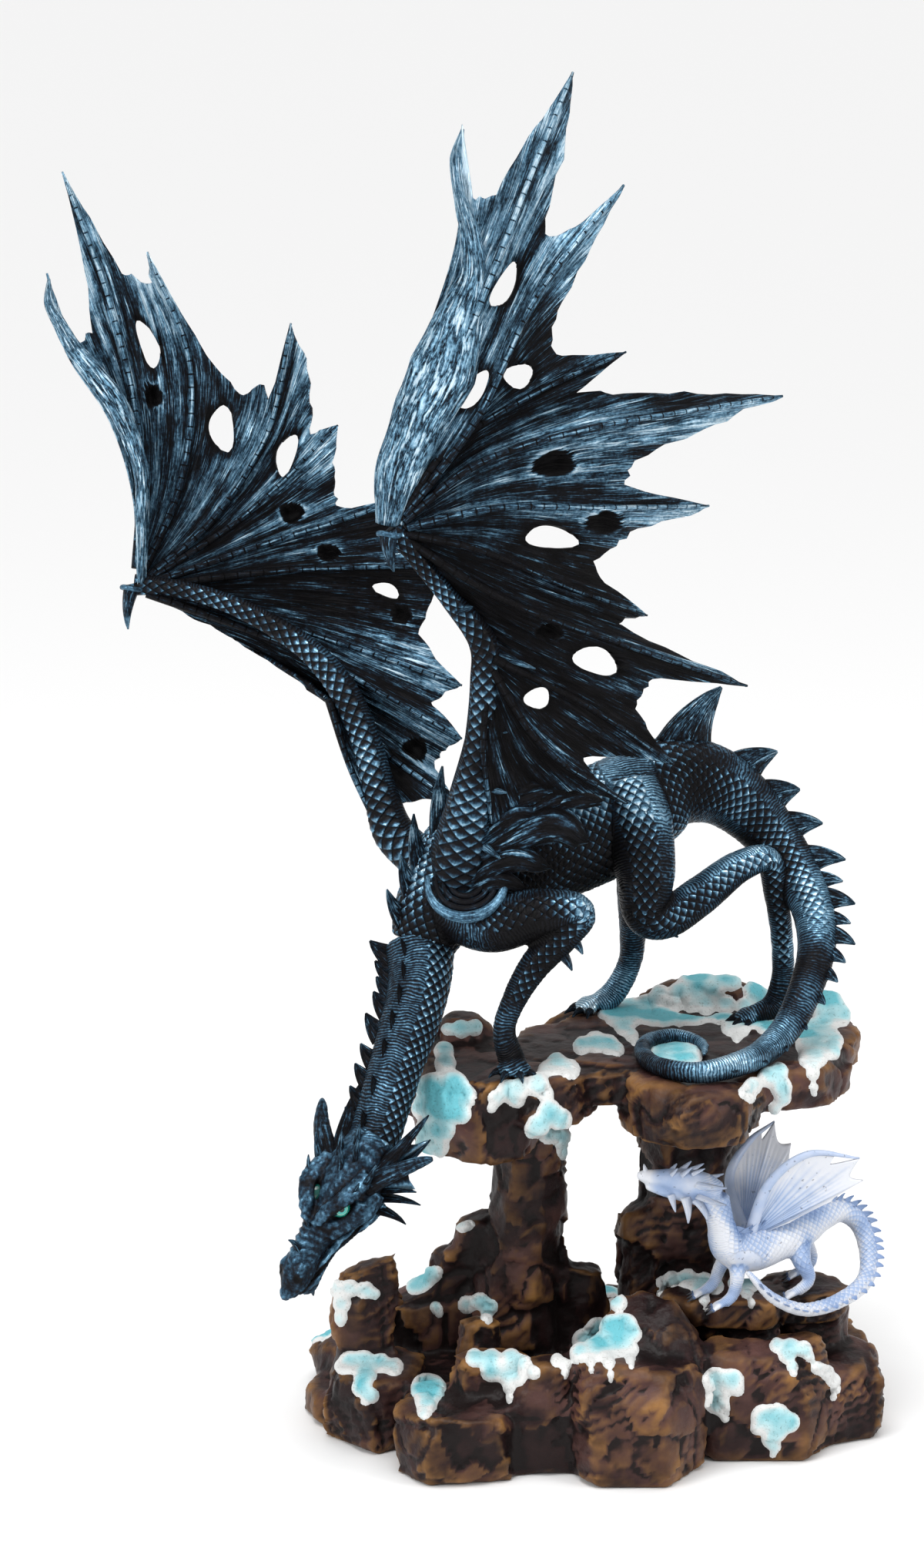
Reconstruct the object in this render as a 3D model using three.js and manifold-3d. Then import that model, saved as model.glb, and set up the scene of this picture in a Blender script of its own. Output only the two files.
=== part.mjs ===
// A cast and painted dragon statue on its rock plinth, with a hatchling on a ledge.
// Millimetres, +Z up. The origin is the middle of the plinth's underside, and the
// side that is looked at faces -Y, so the dragon's head hangs to the left of it.

import * as THREE from 'three';
import { ConvexGeometry } from 'three/addons/geometries/ConvexGeometry.js';
import { mergeVertices } from 'three/addons/utils/BufferGeometryUtils.js';
import Module from 'manifold-3d';

const wasm = await Module();
wasm.setup();

// Driving dimensions
const slabTop = 183;          // level of the upper rock slab, which carries the feet
const ledgeTop = 70;          // level of the small ledge that carries the hatchling
const basinTop = 26;          // floor between the rocks of the base
const fitGap = 0.35;          // gap between pieces that touch
const wingThick = 3.4;        // thickness of a wing's skin near its root
const ribRadius = 3.6;        // a wing finger's ridge, in front and behind, near its root
const wingTaper = 0.62;       // share of both that is lost toward the free edge
const wingRoot = 0.05;        // share of a finger that lies inside the arm
const foldDepth = 0.9;        // pleats of the skin between two fingers
const wingRows = 4;           // faces along a finger
const clawLength = 11;        // a front claw of a foot
const bladeSteps = 200;       // places along a tube where a blade may stand
const seamReach = 22;         // the neck's seam face lies within this of its middle
const farReach = 900;         // longer than the statue in any direction
const seam = { at: [-80, -21, 240], along: [-0.05, -0.6, -0.8] };
const wingSocket = { at: [-61, -34, 268], facing: [-0.1, -0.8, 0.6], radius: 15, thick: 3.2 };

// The spine of the trunk and tail: x, y, z, half the width, half the height
const trunk = [
  [-80, -21, 240, 15, 15],
  [-72, -16, 256, 20, 22],
  [-58, -7, 270, 26, 32],
  [-38, 2, 280, 26, 30],
  [-15, 12, 284, 24, 29],
  [8, 24, 291, 24, 29],
  [27, 35, 299, 23, 27],
  [45, 44, 307, 19, 23],
];
const tail = [
  [66, 50, 303, 15, 19.5],
  [82, 52, 291, 12.5, 16],
  [96, 50, 275, 10.5, 13],
  [106, 42, 260, 9.5, 11.5],
  [113, 28, 244, 9, 10.5],
  [113, 12, 229, 8.5, 9.5],
  [107, -2, 214, 8, 8.5],
  [98, -14, 199, 7.4, 7.6],
  [86, -28, 190.5, 6.6, 6.8],
  [71, -49, 189, 6, 6],
  [51, -60, 188, 5.2, 5.2],
  [33, -46, 187.4, 4.6, 4.6],
  [27, -20, 187, 4.2, 4.2],
  [33, 3, 186.6, 3.8, 3.8],
  [46, 11, 186.2, 3.4, 3.4],
  [57, -2, 185.8, 2.8, 2.8],
  [57, -20, 185.2, 1.6, 1.6],
];
const neck = [
  [-80, -21, 240, 16.5, 16.5],
  [-80, -30, 228, 16, 15.3],
  [-82, -38, 217, 15, 14.3],
  [-86, -46, 205, 14, 13.8],
  [-91, -55, 191, 13.5, 12.8],
  [-97, -66, 173, 12.5, 12.3],
  [-102, -73, 158, 12, 12],
  [-108, -78, 147, 12, 12],
];
const neckTube = { sides: 9, steps: 1, up: [-1, 0, 0] };

// Blades along the back: place as a share of the rows, height, length of base, lean
const shoulderBlades = [
  [0.064, 12.5, 11, 0.8],
  [0.143, 13, 12, 0.8],
  [0.2, 18.5, 13, 0.8],
  [0.29, 24, 15, 0.7],
];
const tailBlades = [
  [0.298, 24.5, 31, 0.75],
  [0.345, 12, 21, 0.8],
  [0.381, 9.5, 20, 0.8],
  [0.413, 10.5, 16, 0.8],
  [0.451, 12.5, 15, 0.75],
  [0.472, 7.5, 10, 0.8],
  [0.492, 10, 13, 0.8],
  [0.51, 7, 9, 0.8],
  [0.528, 9.5, 11, 0.8],
  [0.546, 6.5, 9, 0.8],
  [0.565, 6, 8, 0.8],
  [0.59, 4.5, 7, 0.8],
];
const neckBlades = [
  [0.05, 8, 14, -1.1],
  [0.16, 7, 13, -1],
  [0.26, 6.5, 12, -1],
  [0.36, 7, 13, -1],
  [0.475, 8, 13, -1],
  [0.58, 6.5, 11, -1],
  [0.645, 6.5, 11, -1],
  [0.715, 6, 10, -1],
  [0.79, 5.5, 9, -1],
  [0.87, 5, 8, -1],
];
const limbs = {
  leftFore: {
    path: [
      [-66, -22, 262, 17, 16],
      [-46, -36, 255, 14, 14],
      [-24, -44, 262, 12, 12],
      [-5, -44, 262, 8.5, 9.5],
      [-12, -44, 252, 8.5, 9.5],
      [-26, -44, 236, 7.4, 7.6],
      [-36, -44, 218, 5.8, 6],
      [-40, -44, 205, 5.4, 5.6],
      [-37, -43, 192, 6.6, 6.6],
      [-34, -45, 186, 6, 4],
    ],
    foot: { at: [-35, -46, 187], toward: [-0.1, -1], spread: 2.0, toes: 4 },
  },
  rightFore: {
    path: [
      [-62, 6, 262, 16, 16],
      [-70, 18, 252, 13, 13],
      [-70, 26, 238, 10, 10],
      [-76, 22, 222, 8, 8],
      [-81, 16, 206, 6, 6],
      [-81, 14, 192, 7, 7],
      [-82, 12, 186, 6, 4],
    ],
    foot: { at: [-82, 11, 187], toward: [-0.6, -0.8], spread: 1.9, toes: 4 },
  },
  leftHind: {
    path: [
      [20, 22, 308, 17, 17],
      [25, 12, 292, 17.5, 18],
      [29, 5, 270, 14.5, 16],
      [29, 2, 250, 10.5, 11],
      [38, 5, 247, 10, 10],
      [56, 15, 256, 9.5, 10],
      [76, 27, 268, 7.5, 8.5],
      [90, 34, 270, 6.5, 7],
      [95, 40, 252, 6, 6.5],
      [99, 46, 228, 5.6, 6],
      [100, 50, 205, 5.6, 6],
      [96, 50, 191, 6.5, 6],
      [86, 45, 186, 7, 4],
    ],
    foot: { at: [86, 44, 187], toward: [-1, -0.45], spread: 1.5, toes: 4 },
  },
  rightHind: {
    path: [
      [34, 50, 300, 16, 17],
      [30, 56, 276, 14, 15],
      [27, 60, 252, 10, 11],
      [26, 68, 228, 7, 8],
      [25, 73, 208, 6, 6.5],
      [17, 72, 192, 6.5, 6],
      [8, 66, 186, 6.5, 4],
    ],
    foot: { at: [7, 65, 187], toward: [-1, -0.55], spread: 1.5, toes: 4 },
  },
};

// The hatchling's neck, trunk and tail, which curls down over the edge of the ledge
const hatchlingSpine = [
  [61, -47, 123, 7, 7.5],
  [64, -47, 110, 6.5, 7.5],
  [68, -45, 98, 9, 10.5],
  [78, -40, 95, 11, 12.5],
  [91, -32, 97, 10.5, 12],
  [104, -22, 100, 10, 11.5],
  [115, -14, 103, 7.5, 8.5],
  [126, -7, 103, 5.8, 6.4],
  [135, -6, 96, 5, 5.4],
  [139, -13, 84, 4.6, 4.9],
  [136, -28, 74, 4.2, 4.3],
  [121, -43, 68.5, 3.8, 3.8],
  [104, -54, 68.5, 3.4, 3.4],
  [88, -60, 77, 2.8, 2.8],
  [76, -60, 90, 1.5, 1.5],
];
const hatchlingWings = [
  {
    root: [78, -42, 101],
    edge: [
      [88, -45, 130], [106, -43, 143], [131, -37, 139],
      [133, -37, 128], [118, -38, 118], [98, -40, 108],
    ],
  },
  {
    root: [76, -33, 101],
    edge: [
      [70, -20, 124], [80, -8, 138], [93, 0, 146],
      [101, -4, 136], [104, -10, 126], [96, -18, 112],
    ],
  },
];
const hatchlingTube = { sides: 8, steps: 2, up: [0, -1, 0] };

// A wing is a fan of fingers. A finger is a row of points from root to tip. Between two
// fingers the skin's free edge is a row of [place across, reach], both from 0 to 1, and
// a hole is [panel, place across, reach, half width, half height, turn to the right].
const leftWing = {
  outward: [0, -1, 0],
  fingers: [
    [[-92, -66, 447], [-92, -67, 493], [-76, -65, 536], [-62, -59, 581], [-60, -50, 629]],
    [[-92, -66, 447], [-73, -71, 501], [-51, -70, 552], [-31, -59, 602], [-10, -42, 652]],
    [[-92, -66, 447], [-53, -70, 499], [-26, -56, 553], [14, -28, 601]],
    [[-92, -66, 447], [-66, -68, 485], [-27, -52, 508], [16, -20, 524]],
    [[-92, -66, 447], [-54, -67, 477], [-9, -56, 491], [40, -31, 497], [91, 4, 501]],
    [[-92, -66, 447], [-45, -63, 457], [5, -39, 454], [57, 4, 449]],
    [[-92, -66, 447], [-53, -62, 438], [-14, -39, 418], [28, 0, 397]],
    [[-92, -66, 447], [-42, -60, 415], [15, -33, 389], [77, 10, 361]],
    [[-49, -56, 388], [-4, -44, 363], [41, -10, 327]],
    [[-48, -54, 383], [-22, -53, 344], [18, -34, 313]],
    [[-48, -52, 376], [-50, -52, 342], [-46, -42, 305]],
  ],
  edges: [
    [[0.03, 0.95], [0.09, 0.86], [0.17, 0.8], [0.38, 0.79], [0.5, 0.79], [0.65, 0.85], [0.86, 0.91]],
    [[0.12, 0.96], [0.24, 0.9], [0.37, 0.83], [0.46, 0.78], [0.64, 0.75], [0.79, 0.79], [0.91, 0.85]],
    [[0.08, 0.92], [0.19, 0.85], [0.35, 0.76], [0.59, 0.73], [0.78, 0.75], [0.92, 0.88]],
    [[0.07, 0.89], [0.14, 0.81], [0.24, 0.73], [0.51, 0.77], [0.66, 0.83], [0.82, 0.91]],
    [[0.09, 0.91], [0.22, 0.85], [0.37, 0.75], [0.54, 0.69], [0.74, 0.69], [0.88, 0.81]],
    [[0.07, 0.96], [0.14, 0.88], [0.25, 0.82], [0.38, 0.78], [0.66, 0.73], [0.83, 0.79]],
    [[0.28, 0.82], [0.45, 0.77], [0.62, 0.73], [0.8, 0.86]],
    [[0.11, 0.9], [0.2, 0.82], [0.28, 0.77], [0.48, 0.75], [0.73, 0.75], [0.9, 0.85]],
    [[0.37, 0.82], [0.78, 0.67], [0.92, 0.79]],
    [[0.16, 0.88], [0.42, 0.82], [0.75, 0.9]],
  ],
  holes: [
    [1, 0.36, 0.58, 4.5, 11, 0.5], [1, 0.62, 0.36, 4.5, 10.5, 0.72], [2, 0.68, 0.6, 7, 5.5, 0],
    [5, 0.49, 0.56, 13, 5.2, 0.25], [7, 0.35, 0.59, 11.5, 6, 0.45], [8, 0.4, 0.32, 6, 5, 0],
  ],
  arm: [
    [-92, -66, 448, 5.5, 5.5],
    [-84, -64, 438, 4.2, 4.2],
    [-67, -57, 416, 4.6, 4.6],
    [-50, -51, 392, 7, 7],
    [-49, -48, 374, 7.5, 7.5],
    [-51, -43, 345, 8, 8],
    [-56, -37, 315, 11, 11],
    [-61, -31, 288, 14, 14],
    [-62, -25, 268, 11, 11],
  ],
  bone: [
    [-93.2, -66, 449.8, 5.9, 4],
    [-89.1, -67, 471.6, 10.8, 5.5],
    [-80.4, -68, 496, 12.6, 6.5],
    [-68.8, -68, 520.1, 15.5, 6.5],
    [-60.8, -67, 544, 10.9, 5.5],
    [-54.7, -64, 562.3, 6.9, 4.5],
    [-56.3, -60, 580.5, 4.5, 3.6],
    [-60.3, -56, 596.1, 2.9, 3.2],
    [-62.4, -52, 614.4, 2.9, 2.4],
    [-59.7, -49, 626.9, 0.8, 0.8],
  ],
  claw: [[-93, -68, 446], [-91, -71, 429], 4.4],
  spikes: [
    [[-62, -57, 409], [-55, -60, 411]],
    [[-48, -50, 388], [-26, -54, 381]],
    [[-46, -46, 350], [-36, -52, 351]],
    [[-50, -41, 322], [-39, -48, 321]],
    [[-54, -36, 296], [-42, -46, 289]],
  ],
};
const rightWing = {
  outward: [0, -1, 0],
  fingers: [
    [[-221, 62, 403], [-222, 75, 442], [-234, 85, 480], [-256, 90, 515], [-264, 92, 552]],
    [[-221, 62, 400], [-219, 82, 468], [-233, 95, 535], [-256, 98, 601]],
    [[-221, 62, 400], [-199, 84, 451], [-195, 96, 508], [-215, 98, 562]],
    [[-221, 62, 400], [-184, 82, 431], [-156, 91, 475], [-144, 86, 528]],
    [[-221, 62, 400], [-168, 84, 433], [-121, 76, 479]],
    [[-221, 62, 400], [-149, 75, 423], [-75, 60, 448]],
    [[-221, 62, 400], [-144, 70, 408], [-66, 52, 413]],
    [[-221, 62, 400], [-140, 64, 379], [-60, 44, 355]],
    [[-221, 62, 400], [-138, 57, 369], [-60, 36, 330]],
    [[-124, 44, 349], [-96, 40, 321], [-64, 26, 301]],
    [[-126, 44, 351], [-115, 33, 317], [-102, 20, 290]],
  ],
  edges: [
    [[0.06, 0.92], [0.13, 0.81], [0.22, 0.72], [0.49, 0.69], [0.68, 0.75], [0.86, 0.87]],
    [[0.23, 0.87], [0.34, 0.8], [0.58, 0.84], [0.64, 0.82], [0.85, 0.88]],
    [[0.06, 0.85], [0.17, 0.77], [0.34, 0.71], [0.67, 0.69], [0.83, 0.79], [0.93, 0.73]],
    [[0.37, 0.98], [0.59, 0.93], [0.85, 0.88]],
    [[0.25, 0.86], [0.73, 0.73], [0.9, 0.76]],
    [[0.42, 0.94], [0.7, 0.9]],
    [[0.37, 0.92], [0.65, 0.88], [0.84, 0.92]],
    [[0.27, 0.95], [0.6, 0.9]],
    [[0.37, 0.93], [0.7, 0.88]],
    [[0.26, 0.93], [0.73, 0.9]],
  ],
  holes: [
    [1, 0.43, 0.63, 4.2, 12, -0.35], [2, 0.49, 0.56, 6, 11, -0.1], [3, 0.72, 0.74, 4.8, 10.5, 0.35],
    [6, 0.26, 0.79, 7, 3.5, 0.3],
  ],
  arm: [
    [-221, 62, 402, 5.5, 5.5],
    [-205, 62, 401, 4.4, 4.4],
    [-174, 58, 393, 4.8, 4.8],
    [-137, 51, 373, 6, 6],
    [-119, 45, 354, 7.2, 7.2],
    [-108, 38, 332, 7.2, 7.2],
    [-100, 29, 306, 8.2, 8.2],
    [-93, 22, 286, 10.5, 10.5],
    [-78, 16, 272, 11, 11],
  ],
  bone: [
    [-217.8, 60, 402.9, 2.3, 3.5],
    [-217, 61, 417.6, 2.7, 4],
    [-216.8, 65, 438.2, 3.1, 4.2],
    [-217.5, 70, 456.5, 3.4, 4.5],
    [-222.3, 75, 472.8, 4.6, 4.5],
    [-229.9, 79, 489.2, 5.3, 4.2],
    [-240.6, 84, 503.4, 5.1, 4],
    [-250.5, 87, 514.6, 4, 3.4],
    [-257.8, 89, 527, 2.9, 3],
    [-263.2, 90.5, 538.4, 2.3, 2.6],
    [-263.1, 92, 549.2, 0.8, 0.8],
  ],
  claw: [[-222, 60, 401], [-224, 55, 381], 3.8],
  spikes: [],
};

// The head has its own frame: along the snout, to the dragon's left, and out of the skull
const headFrame = {
  origin: [-102, -76, 152],
  along: [-0.519, -0.329, -0.789],
  left: [0.715, -0.672, -0.19],
  above: [-0.468, -0.663, 0.585],
};
const skull = [
  [-6, 4, 12, 12.5],
  [8, 5, 15, 14],
  [20, 3.5, 16, 15.5],
  [31, 3.5, 13, 13],
  [42, 5.5, 9.5, 10],
  [53, 5, 8.6, 9.6],
  [63, 2, 9, 10],
  [71, 0, 6, 7],
];
// Spikes of one side of the head, from root to tip, with their radius; both sides are made
const headSpikes = [
  [[17, 13, 10], [-11, 36, 9], 4.6],
  [[8, 12, 4], [-29, 22, 9], 5.2],
  [[12, 9, -2], [6, 28, -6], 4.2],
  [[15, 9, -4], [9, 31, -10], 3.8],
  [[21, 9, -5], [20, 28, -11], 3.8],
  [[15, 9, 12], [4, 20, 21], 3],
];
const skullSpikes = [
  [[56, 0, 8], [55, 0, 21], 3.2],
  [[13, 0, 15], [5, 0, 24], 3],
  [[6, 3, 14], [-3, 4, 23], 3],
  [[6, -4, 14], [-2, -6, 23], 3],
];

const finish = {
  dragon: { color: 0x27496b, roughness: 0.38, metalness: 0.55 },
  rock: { color: 0x4a3029, roughness: 0.45, metalness: 0 },
  hatchling: { color: 0xb9cbe6, roughness: 0.5, metalness: 0 },
};

// Vectors and curves

const vec = (p) => new THREE.Vector3(p[0], p[1], p[2]);

function curveThrough(points) {
  return new THREE.CatmullRomCurve3(points.map(vec), false, 'centripetal');
}

function seededRandom(seed) {
  let state = seed;
  return () => {
    state = (state * 16807) % 2147483647;
    return state / 2147483647 - 0.5;
  };
}

// Solids

function solidFrom(points, triangles) {
  let volume = 0;
  for (const [a, b, c] of triangles) {
    volume += points[a].dot(new THREE.Vector3().crossVectors(points[b], points[c]));
  }
  const ordered = volume < 0 ? triangles.map(([a, b, c]) => [a, c, b]) : triangles;
  const vertProperties = new Float32Array(points.flatMap((p) => [p.x, p.y, p.z]));
  const triVerts = new Uint32Array(ordered.flat());
  return new wasm.Manifold(new wasm.Mesh({ numProp: 3, vertProperties, triVerts }));
}

function solidFromGeometry(geometry) {
  const bare = geometry.index ? geometry.toNonIndexed() : geometry;
  bare.deleteAttribute('normal');
  bare.deleteAttribute('uv');
  const merged = mergeVertices(bare, 1e-3);
  const at = merged.getAttribute('position');
  const points = [];
  for (let i = 0; i < at.count; i++) points.push(new THREE.Vector3().fromBufferAttribute(at, i));
  const corners = merged.getIndex().array;
  const triangles = [];
  for (let i = 0; i < corners.length; i += 3) {
    const face = [corners[i], corners[i + 1], corners[i + 2]];
    if (new Set(face).size === 3) triangles.push(face);
  }
  return solidFrom(points, triangles);
}

function join(solids) {
  return solids.reduce((whole, next) => whole.add(next));
}

function turnUpTo(direction) {
  const up = new THREE.Vector3(0, 0, 1);
  return new THREE.Quaternion().setFromUnitVectors(up, vec(direction).normalize());
}

// A box that fills everything beyond a plane
function beyond(at, along, size = farReach) {
  const box = new THREE.BoxGeometry(size, size, size);
  box.translate(0, 0, size / 2);
  box.applyQuaternion(turnUpTo(along));
  box.translate(...at);
  return solidFromGeometry(box);
}

// A closed tube through stations of x, y, z, half width and half height. Each section is
// an ellipse square to the path, turned as little as possible from one to the next.
// A tube that only cuts another piece grows by the gap, at its ends too.
function tube(stations, { sides = 8, steps = 2, up = [0, 0, 1], grow = 0 } = {}) {
  const curve = curveThrough(stations);
  const count = (stations.length - 1) * steps;
  const above = vec(up);
  const [first, last] = [new THREE.Vector3(), new THREE.Vector3()];
  const points = [];
  for (let k = 0; k <= count; k++) {
    const place = k / steps;
    const i = Math.min(Math.floor(place), stations.length - 2);
    const mix = (n) => THREE.MathUtils.lerp(stations[i][n], stations[i + 1][n], place - i) + grow;
    const centre = curve.getPoint(k / count);
    const along = curve.getTangent(k / count);
    if (k === 0 || k === count) centre.addScaledVector(along, k ? grow : -grow);
    if (k === 0) first.copy(centre);
    if (k === count) last.copy(centre);
    above.addScaledVector(along, -above.dot(along)).normalize();
    const across = new THREE.Vector3().crossVectors(along, above);
    for (let j = 0; j < sides; j++) {
      const angle = (2 * Math.PI * j) / sides;
      const point = centre.clone().addScaledVector(across, mix(3) * Math.cos(angle));
      points.push(point.addScaledVector(above, mix(4) * Math.sin(angle)));
    }
  }
  points.push(first, last);
  const [startCap, endCap] = [points.length - 2, points.length - 1];
  const triangles = [];
  for (let j = 0; j < sides; j++) {
    const next = (j + 1) % sides;
    for (let k = 0; k < count; k++) {
      const [a, b] = [k * sides + j, k * sides + next];
      triangles.push([a, b, b + sides], [a, b + sides, a + sides]);
    }
    triangles.push([startCap, next, j], [endCap, count * sides + j, count * sides + next]);
  }
  return solidFrom(points, triangles);
}

// A thorn with a flattened root, from a point inside the body to its tip
function thorn(root, tip, radius, { sides = 5, flat = 0.6, broad = [0, 0, 1] } = {}) {
  const along = vec(tip).sub(vec(root)).normalize();
  const across = vec(broad).addScaledVector(along, -vec(broad).dot(along)).normalize();
  const side = new THREE.Vector3().crossVectors(along, across);
  const points = [];
  for (let j = 0; j < sides; j++) {
    const angle = (2 * Math.PI * j) / sides;
    const point = vec(root).addScaledVector(across, radius * Math.cos(angle));
    points.push(point.addScaledVector(side, radius * flat * Math.sin(angle)));
  }
  points.push(vec(tip), vec(root).addScaledVector(along, -radius * 0.5));
  const triangles = [];
  for (let j = 0; j < sides; j++) {
    const next = (j + 1) % sides;
    triangles.push([j, next, sides], [next, j, sides + 1]);
  }
  return solidFrom(points, triangles);
}

// Flat blades that stand on the back of a tube, turned about it by an angle
function blades(stations, table, { up = [0, 0, 1], turn = 0 } = {}) {
  const curve = curveThrough(stations);
  const last = stations.length - 1;
  const above = vec(up);
  const made = [];
  for (let k = 0; k <= bladeSteps; k++) {
    const along = curve.getTangent(k / bladeSteps);
    above.addScaledVector(along, -above.dot(along)).normalize();
    const out = above.clone().applyAxisAngle(along, turn);
    for (const [share, height, base, lean] of table) {
      if (Math.round(share * bladeSteps) !== k) continue;
      const i = Math.min(Math.floor(share * last), last - 1);
      const high = THREE.MathUtils.lerp(stations[i][4], stations[i + 1][4], share * last - i);
      const middle = curve.getPoint(k / bladeSteps);
      const root = middle.clone().addScaledVector(out, high * 0.8);
      const tip = middle.clone().addScaledVector(out, high + height).addScaledVector(along, height * lean);
      const shape = { broad: along.toArray(), flat: 0.24, sides: 4 };
      made.push(thorn(root.toArray(), tip.toArray(), base / 2, shape));
    }
  }
  return made;
}

// A table of equal blades
function evenBlades(from, to, count, height, base, lean) {
  const gap = (to - from) / (count - 1);
  return Array.from({ length: count }, (_, i) => [from + gap * i, height, base, lean]);
}

// A skin between a front and a back sheet of the same grid
function skin(front, back) {
  const [rows, columns] = [front.length, front[0].length];
  const points = [...front.flat(), ...back.flat()];
  const offset = rows * columns;
  const triangles = [];
  const quad = (a, b, c, d) => triangles.push([a, b, c], [a, c, d]);
  for (let i = 0; i < rows - 1; i++) {
    for (let j = 0; j < columns - 1; j++) {
      const a = i * columns + j;
      quad(a, a + 1, a + columns + 1, a + columns);
      quad(offset + a, offset + a + columns, offset + a + columns + 1, offset + a + 1);
    }
    const [left, right] = [i * columns, i * columns + columns - 1];
    quad(left, left + columns, offset + left + columns, offset + left);
    quad(right, offset + right, offset + right + columns, right + columns);
  }
  for (let j = 0; j < columns - 1; j++) {
    const end = (rows - 1) * columns + j;
    quad(j, offset + j, offset + j + 1, j + 1);
    quad(end, end + 1, offset + end + 1, offset + end);
  }
  return solidFrom(points, triangles);
}

// A rock is the hull of three rings of corners, each corner knocked about a little. Its
// width is full at the bulge, and less at the foot and at the crown.
function rock({ at, half, from, to, seed, ...shape }) {
  const { turn = 0, sides = 6, bulge = 0.74, crown = 0.84, tilt = [0, 0], lean = [0, 0] } = shape;
  const random = seededRandom(seed * 7919);
  const levels = [[0, 0.93], [bulge, 1], [1, crown]];
  const points = [];
  for (const [level, reach] of levels) {
    for (let j = 0; j < sides; j++) {
      const angle = turn + (2 * Math.PI * (j + random() * 0.5)) / sides;
      const size = reach * (1 + random() * 0.14);
      const slope = tilt[0] * (Math.cos(angle) - 1) + tilt[1] * (Math.sin(angle) - 1);
      const x = at[0] + Math.cos(angle) * half[0] * size + lean[0] * level;
      const y = at[1] + Math.sin(angle) * half[1] * size + lean[1] * level;
      points.push(new THREE.Vector3(x, y, from + level * (to - from) * (1 + slope * 0.5)));
    }
  }
  return solidFromGeometry(new ConvexGeometry(points));
}

function mesh(name, solid, look) {
  const { vertProperties, triVerts, numProp } = solid.getMesh();
  const geometry = new THREE.BufferGeometry();
  const count = vertProperties.length / numProp;
  const position = new Float32Array(count * 3);
  for (let i = 0; i < count; i++) {
    for (let n = 0; n < 3; n++) position[i * 3 + n] = vertProperties[i * numProp + n];
  }
  geometry.setAttribute('position', new THREE.BufferAttribute(position, 3));
  geometry.setIndex(Array.from(triVerts));
  geometry.computeVertexNormals();
  const made = new THREE.Mesh(geometry, new THREE.MeshStandardMaterial(look));
  made.name = name;
  return made;
}

// Wings

function fingerPoint(finger, reach) {
  return curveThrough(finger).getPoint(reach);
}

// A point of the skin between finger i and the next one; it hangs back between them
function skinPoint(wing, i, across, reach) {
  const near = fingerPoint(wing.fingers[i], reach);
  const far = fingerPoint(wing.fingers[i + 1], reach);
  const point = near.clone().lerp(far, across);
  const sag = 0.1 * near.distanceTo(far) * Math.sin(Math.PI * across);
  return point.addScaledVector(vec(wing.outward), -sag);
}

function wingSolid(wing) {
  const rays = [];
  wing.edges.forEach((edge, i) => {
    rays.push({ i, across: 0, reach: 1, finger: true });
    edge.forEach(([across, reach], n) => {
      rays.push({ i, across, reach, fold: n % 2 ? foldDepth : -foldDepth });
    });
  });
  rays.push({ i: wing.edges.length - 1, across: 1, reach: 1, finger: true });
  const outward = vec(wing.outward);
  const sheet = (side) => rays.map(({ i, across, reach, finger, fold = 0 }) => {
    return Array.from({ length: wingRows + 1 }, (_, k) => {
      const place = k / wingRows;
      const point = skinPoint(wing, i, across, wingRoot + (reach - wingRoot) * place);
      const depth = (finger ? ribRadius : wingThick / 2) * (1 - wingTaper * place);
      return point.addScaledVector(outward, side * depth + fold * (1 - place));
    });
  });
  let solid = skin(sheet(1), sheet(-1));
  for (const [i, across, reach, wide, high, turn] of wing.holes) {
    const hole = new THREE.CylinderGeometry(1, 1, 60, 8);
    hole.scale(wide, 1, high);
    hole.rotateY(turn);
    hole.translate(...skinPoint(wing, i, across, reach).toArray());
    solid = solid.subtract(solidFromGeometry(hole));
  }
  const pieces = [
    solid,
    tube(wing.arm, { sides: 8, steps: 1 }),
    tube(wing.bone, { sides: 8, steps: 1, up: [0, -1, 0.1] }),
    thorn(...wing.claw),
  ];
  for (const [root, tip] of wing.spikes) {
    pieces.push(thorn(root, tip, 4));
  }
  return join(pieces);
}

// Body

function paw({ at, toward, spread, toes }) {
  const middle = Math.atan2(toward[1], toward[0]);
  const parts = [];
  for (let i = 0; i < toes; i++) {
    const angle = middle + spread * (i / (toes - 1) - 0.5);
    const [dx, dy] = [Math.cos(angle), Math.sin(angle)];
    const reach = clawLength * (1 - 0.12 * Math.abs(i - (toes - 1) / 2));
    const out = (d, z, r) => [at[0] + dx * d, at[1] + dy * d, z, r, r];
    parts.push(tube([
      out(0, at[2] + 1, 3.4),
      out(reach * 0.7, slabTop + 4.5, 2.8),
      out(reach * 1.5, slabTop + 0.8, 0.6),
    ], { sides: 4, steps: 1 }));
  }
  return join(parts);
}

function dragonBody() {
  const spine = [...trunk, ...tail];
  const parts = [tube(spine, { sides: 8, steps: 2 })];
  for (const limb of Object.values(limbs)) {
    parts.push(tube(limb.path, { sides: 7, steps: 1, up: [0, 1, 0.2] }));
    parts.push(paw(limb.foot));
  }
  const socket = new THREE.TorusGeometry(wingSocket.radius, wingSocket.thick, 6, 16);
  socket.applyQuaternion(turnUpTo(wingSocket.facing));
  socket.translate(...wingSocket.at);
  parts.push(solidFromGeometry(socket));
  parts.push(...blades(spine, tailBlades));
  parts.push(...blades(trunk, shoulderBlades));
  parts.push(thorn([38, 6, 246], [44, 4, 238], 4.5));
  parts.push(thorn([-8, -46, 250], [-4, -48, 243], 4));
  parts.push(thorn([-12, -46, 243], [-8, -47, 236], 4));
  const locks = 7;
  for (let i = 0; i < locks; i++) {
    const share = i / (locks - 1);
    const root = [-50, -22, 286 + 24 * share];
    const tip = [-2 - 16 * Math.abs(share - 0.35), -30 + 6 * share, 280 + 44 * share];
    parts.push(thorn(root, tip, 6, { flat: 0.8 }));
  }
  return join(parts);
}

// Head and neck

function headPoint([along, left, above]) {
  const point = vec(headFrame.origin);
  point.addScaledVector(vec(headFrame.along), along);
  point.addScaledVector(vec(headFrame.left), left);
  return point.addScaledVector(vec(headFrame.above), above).toArray();
}

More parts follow.
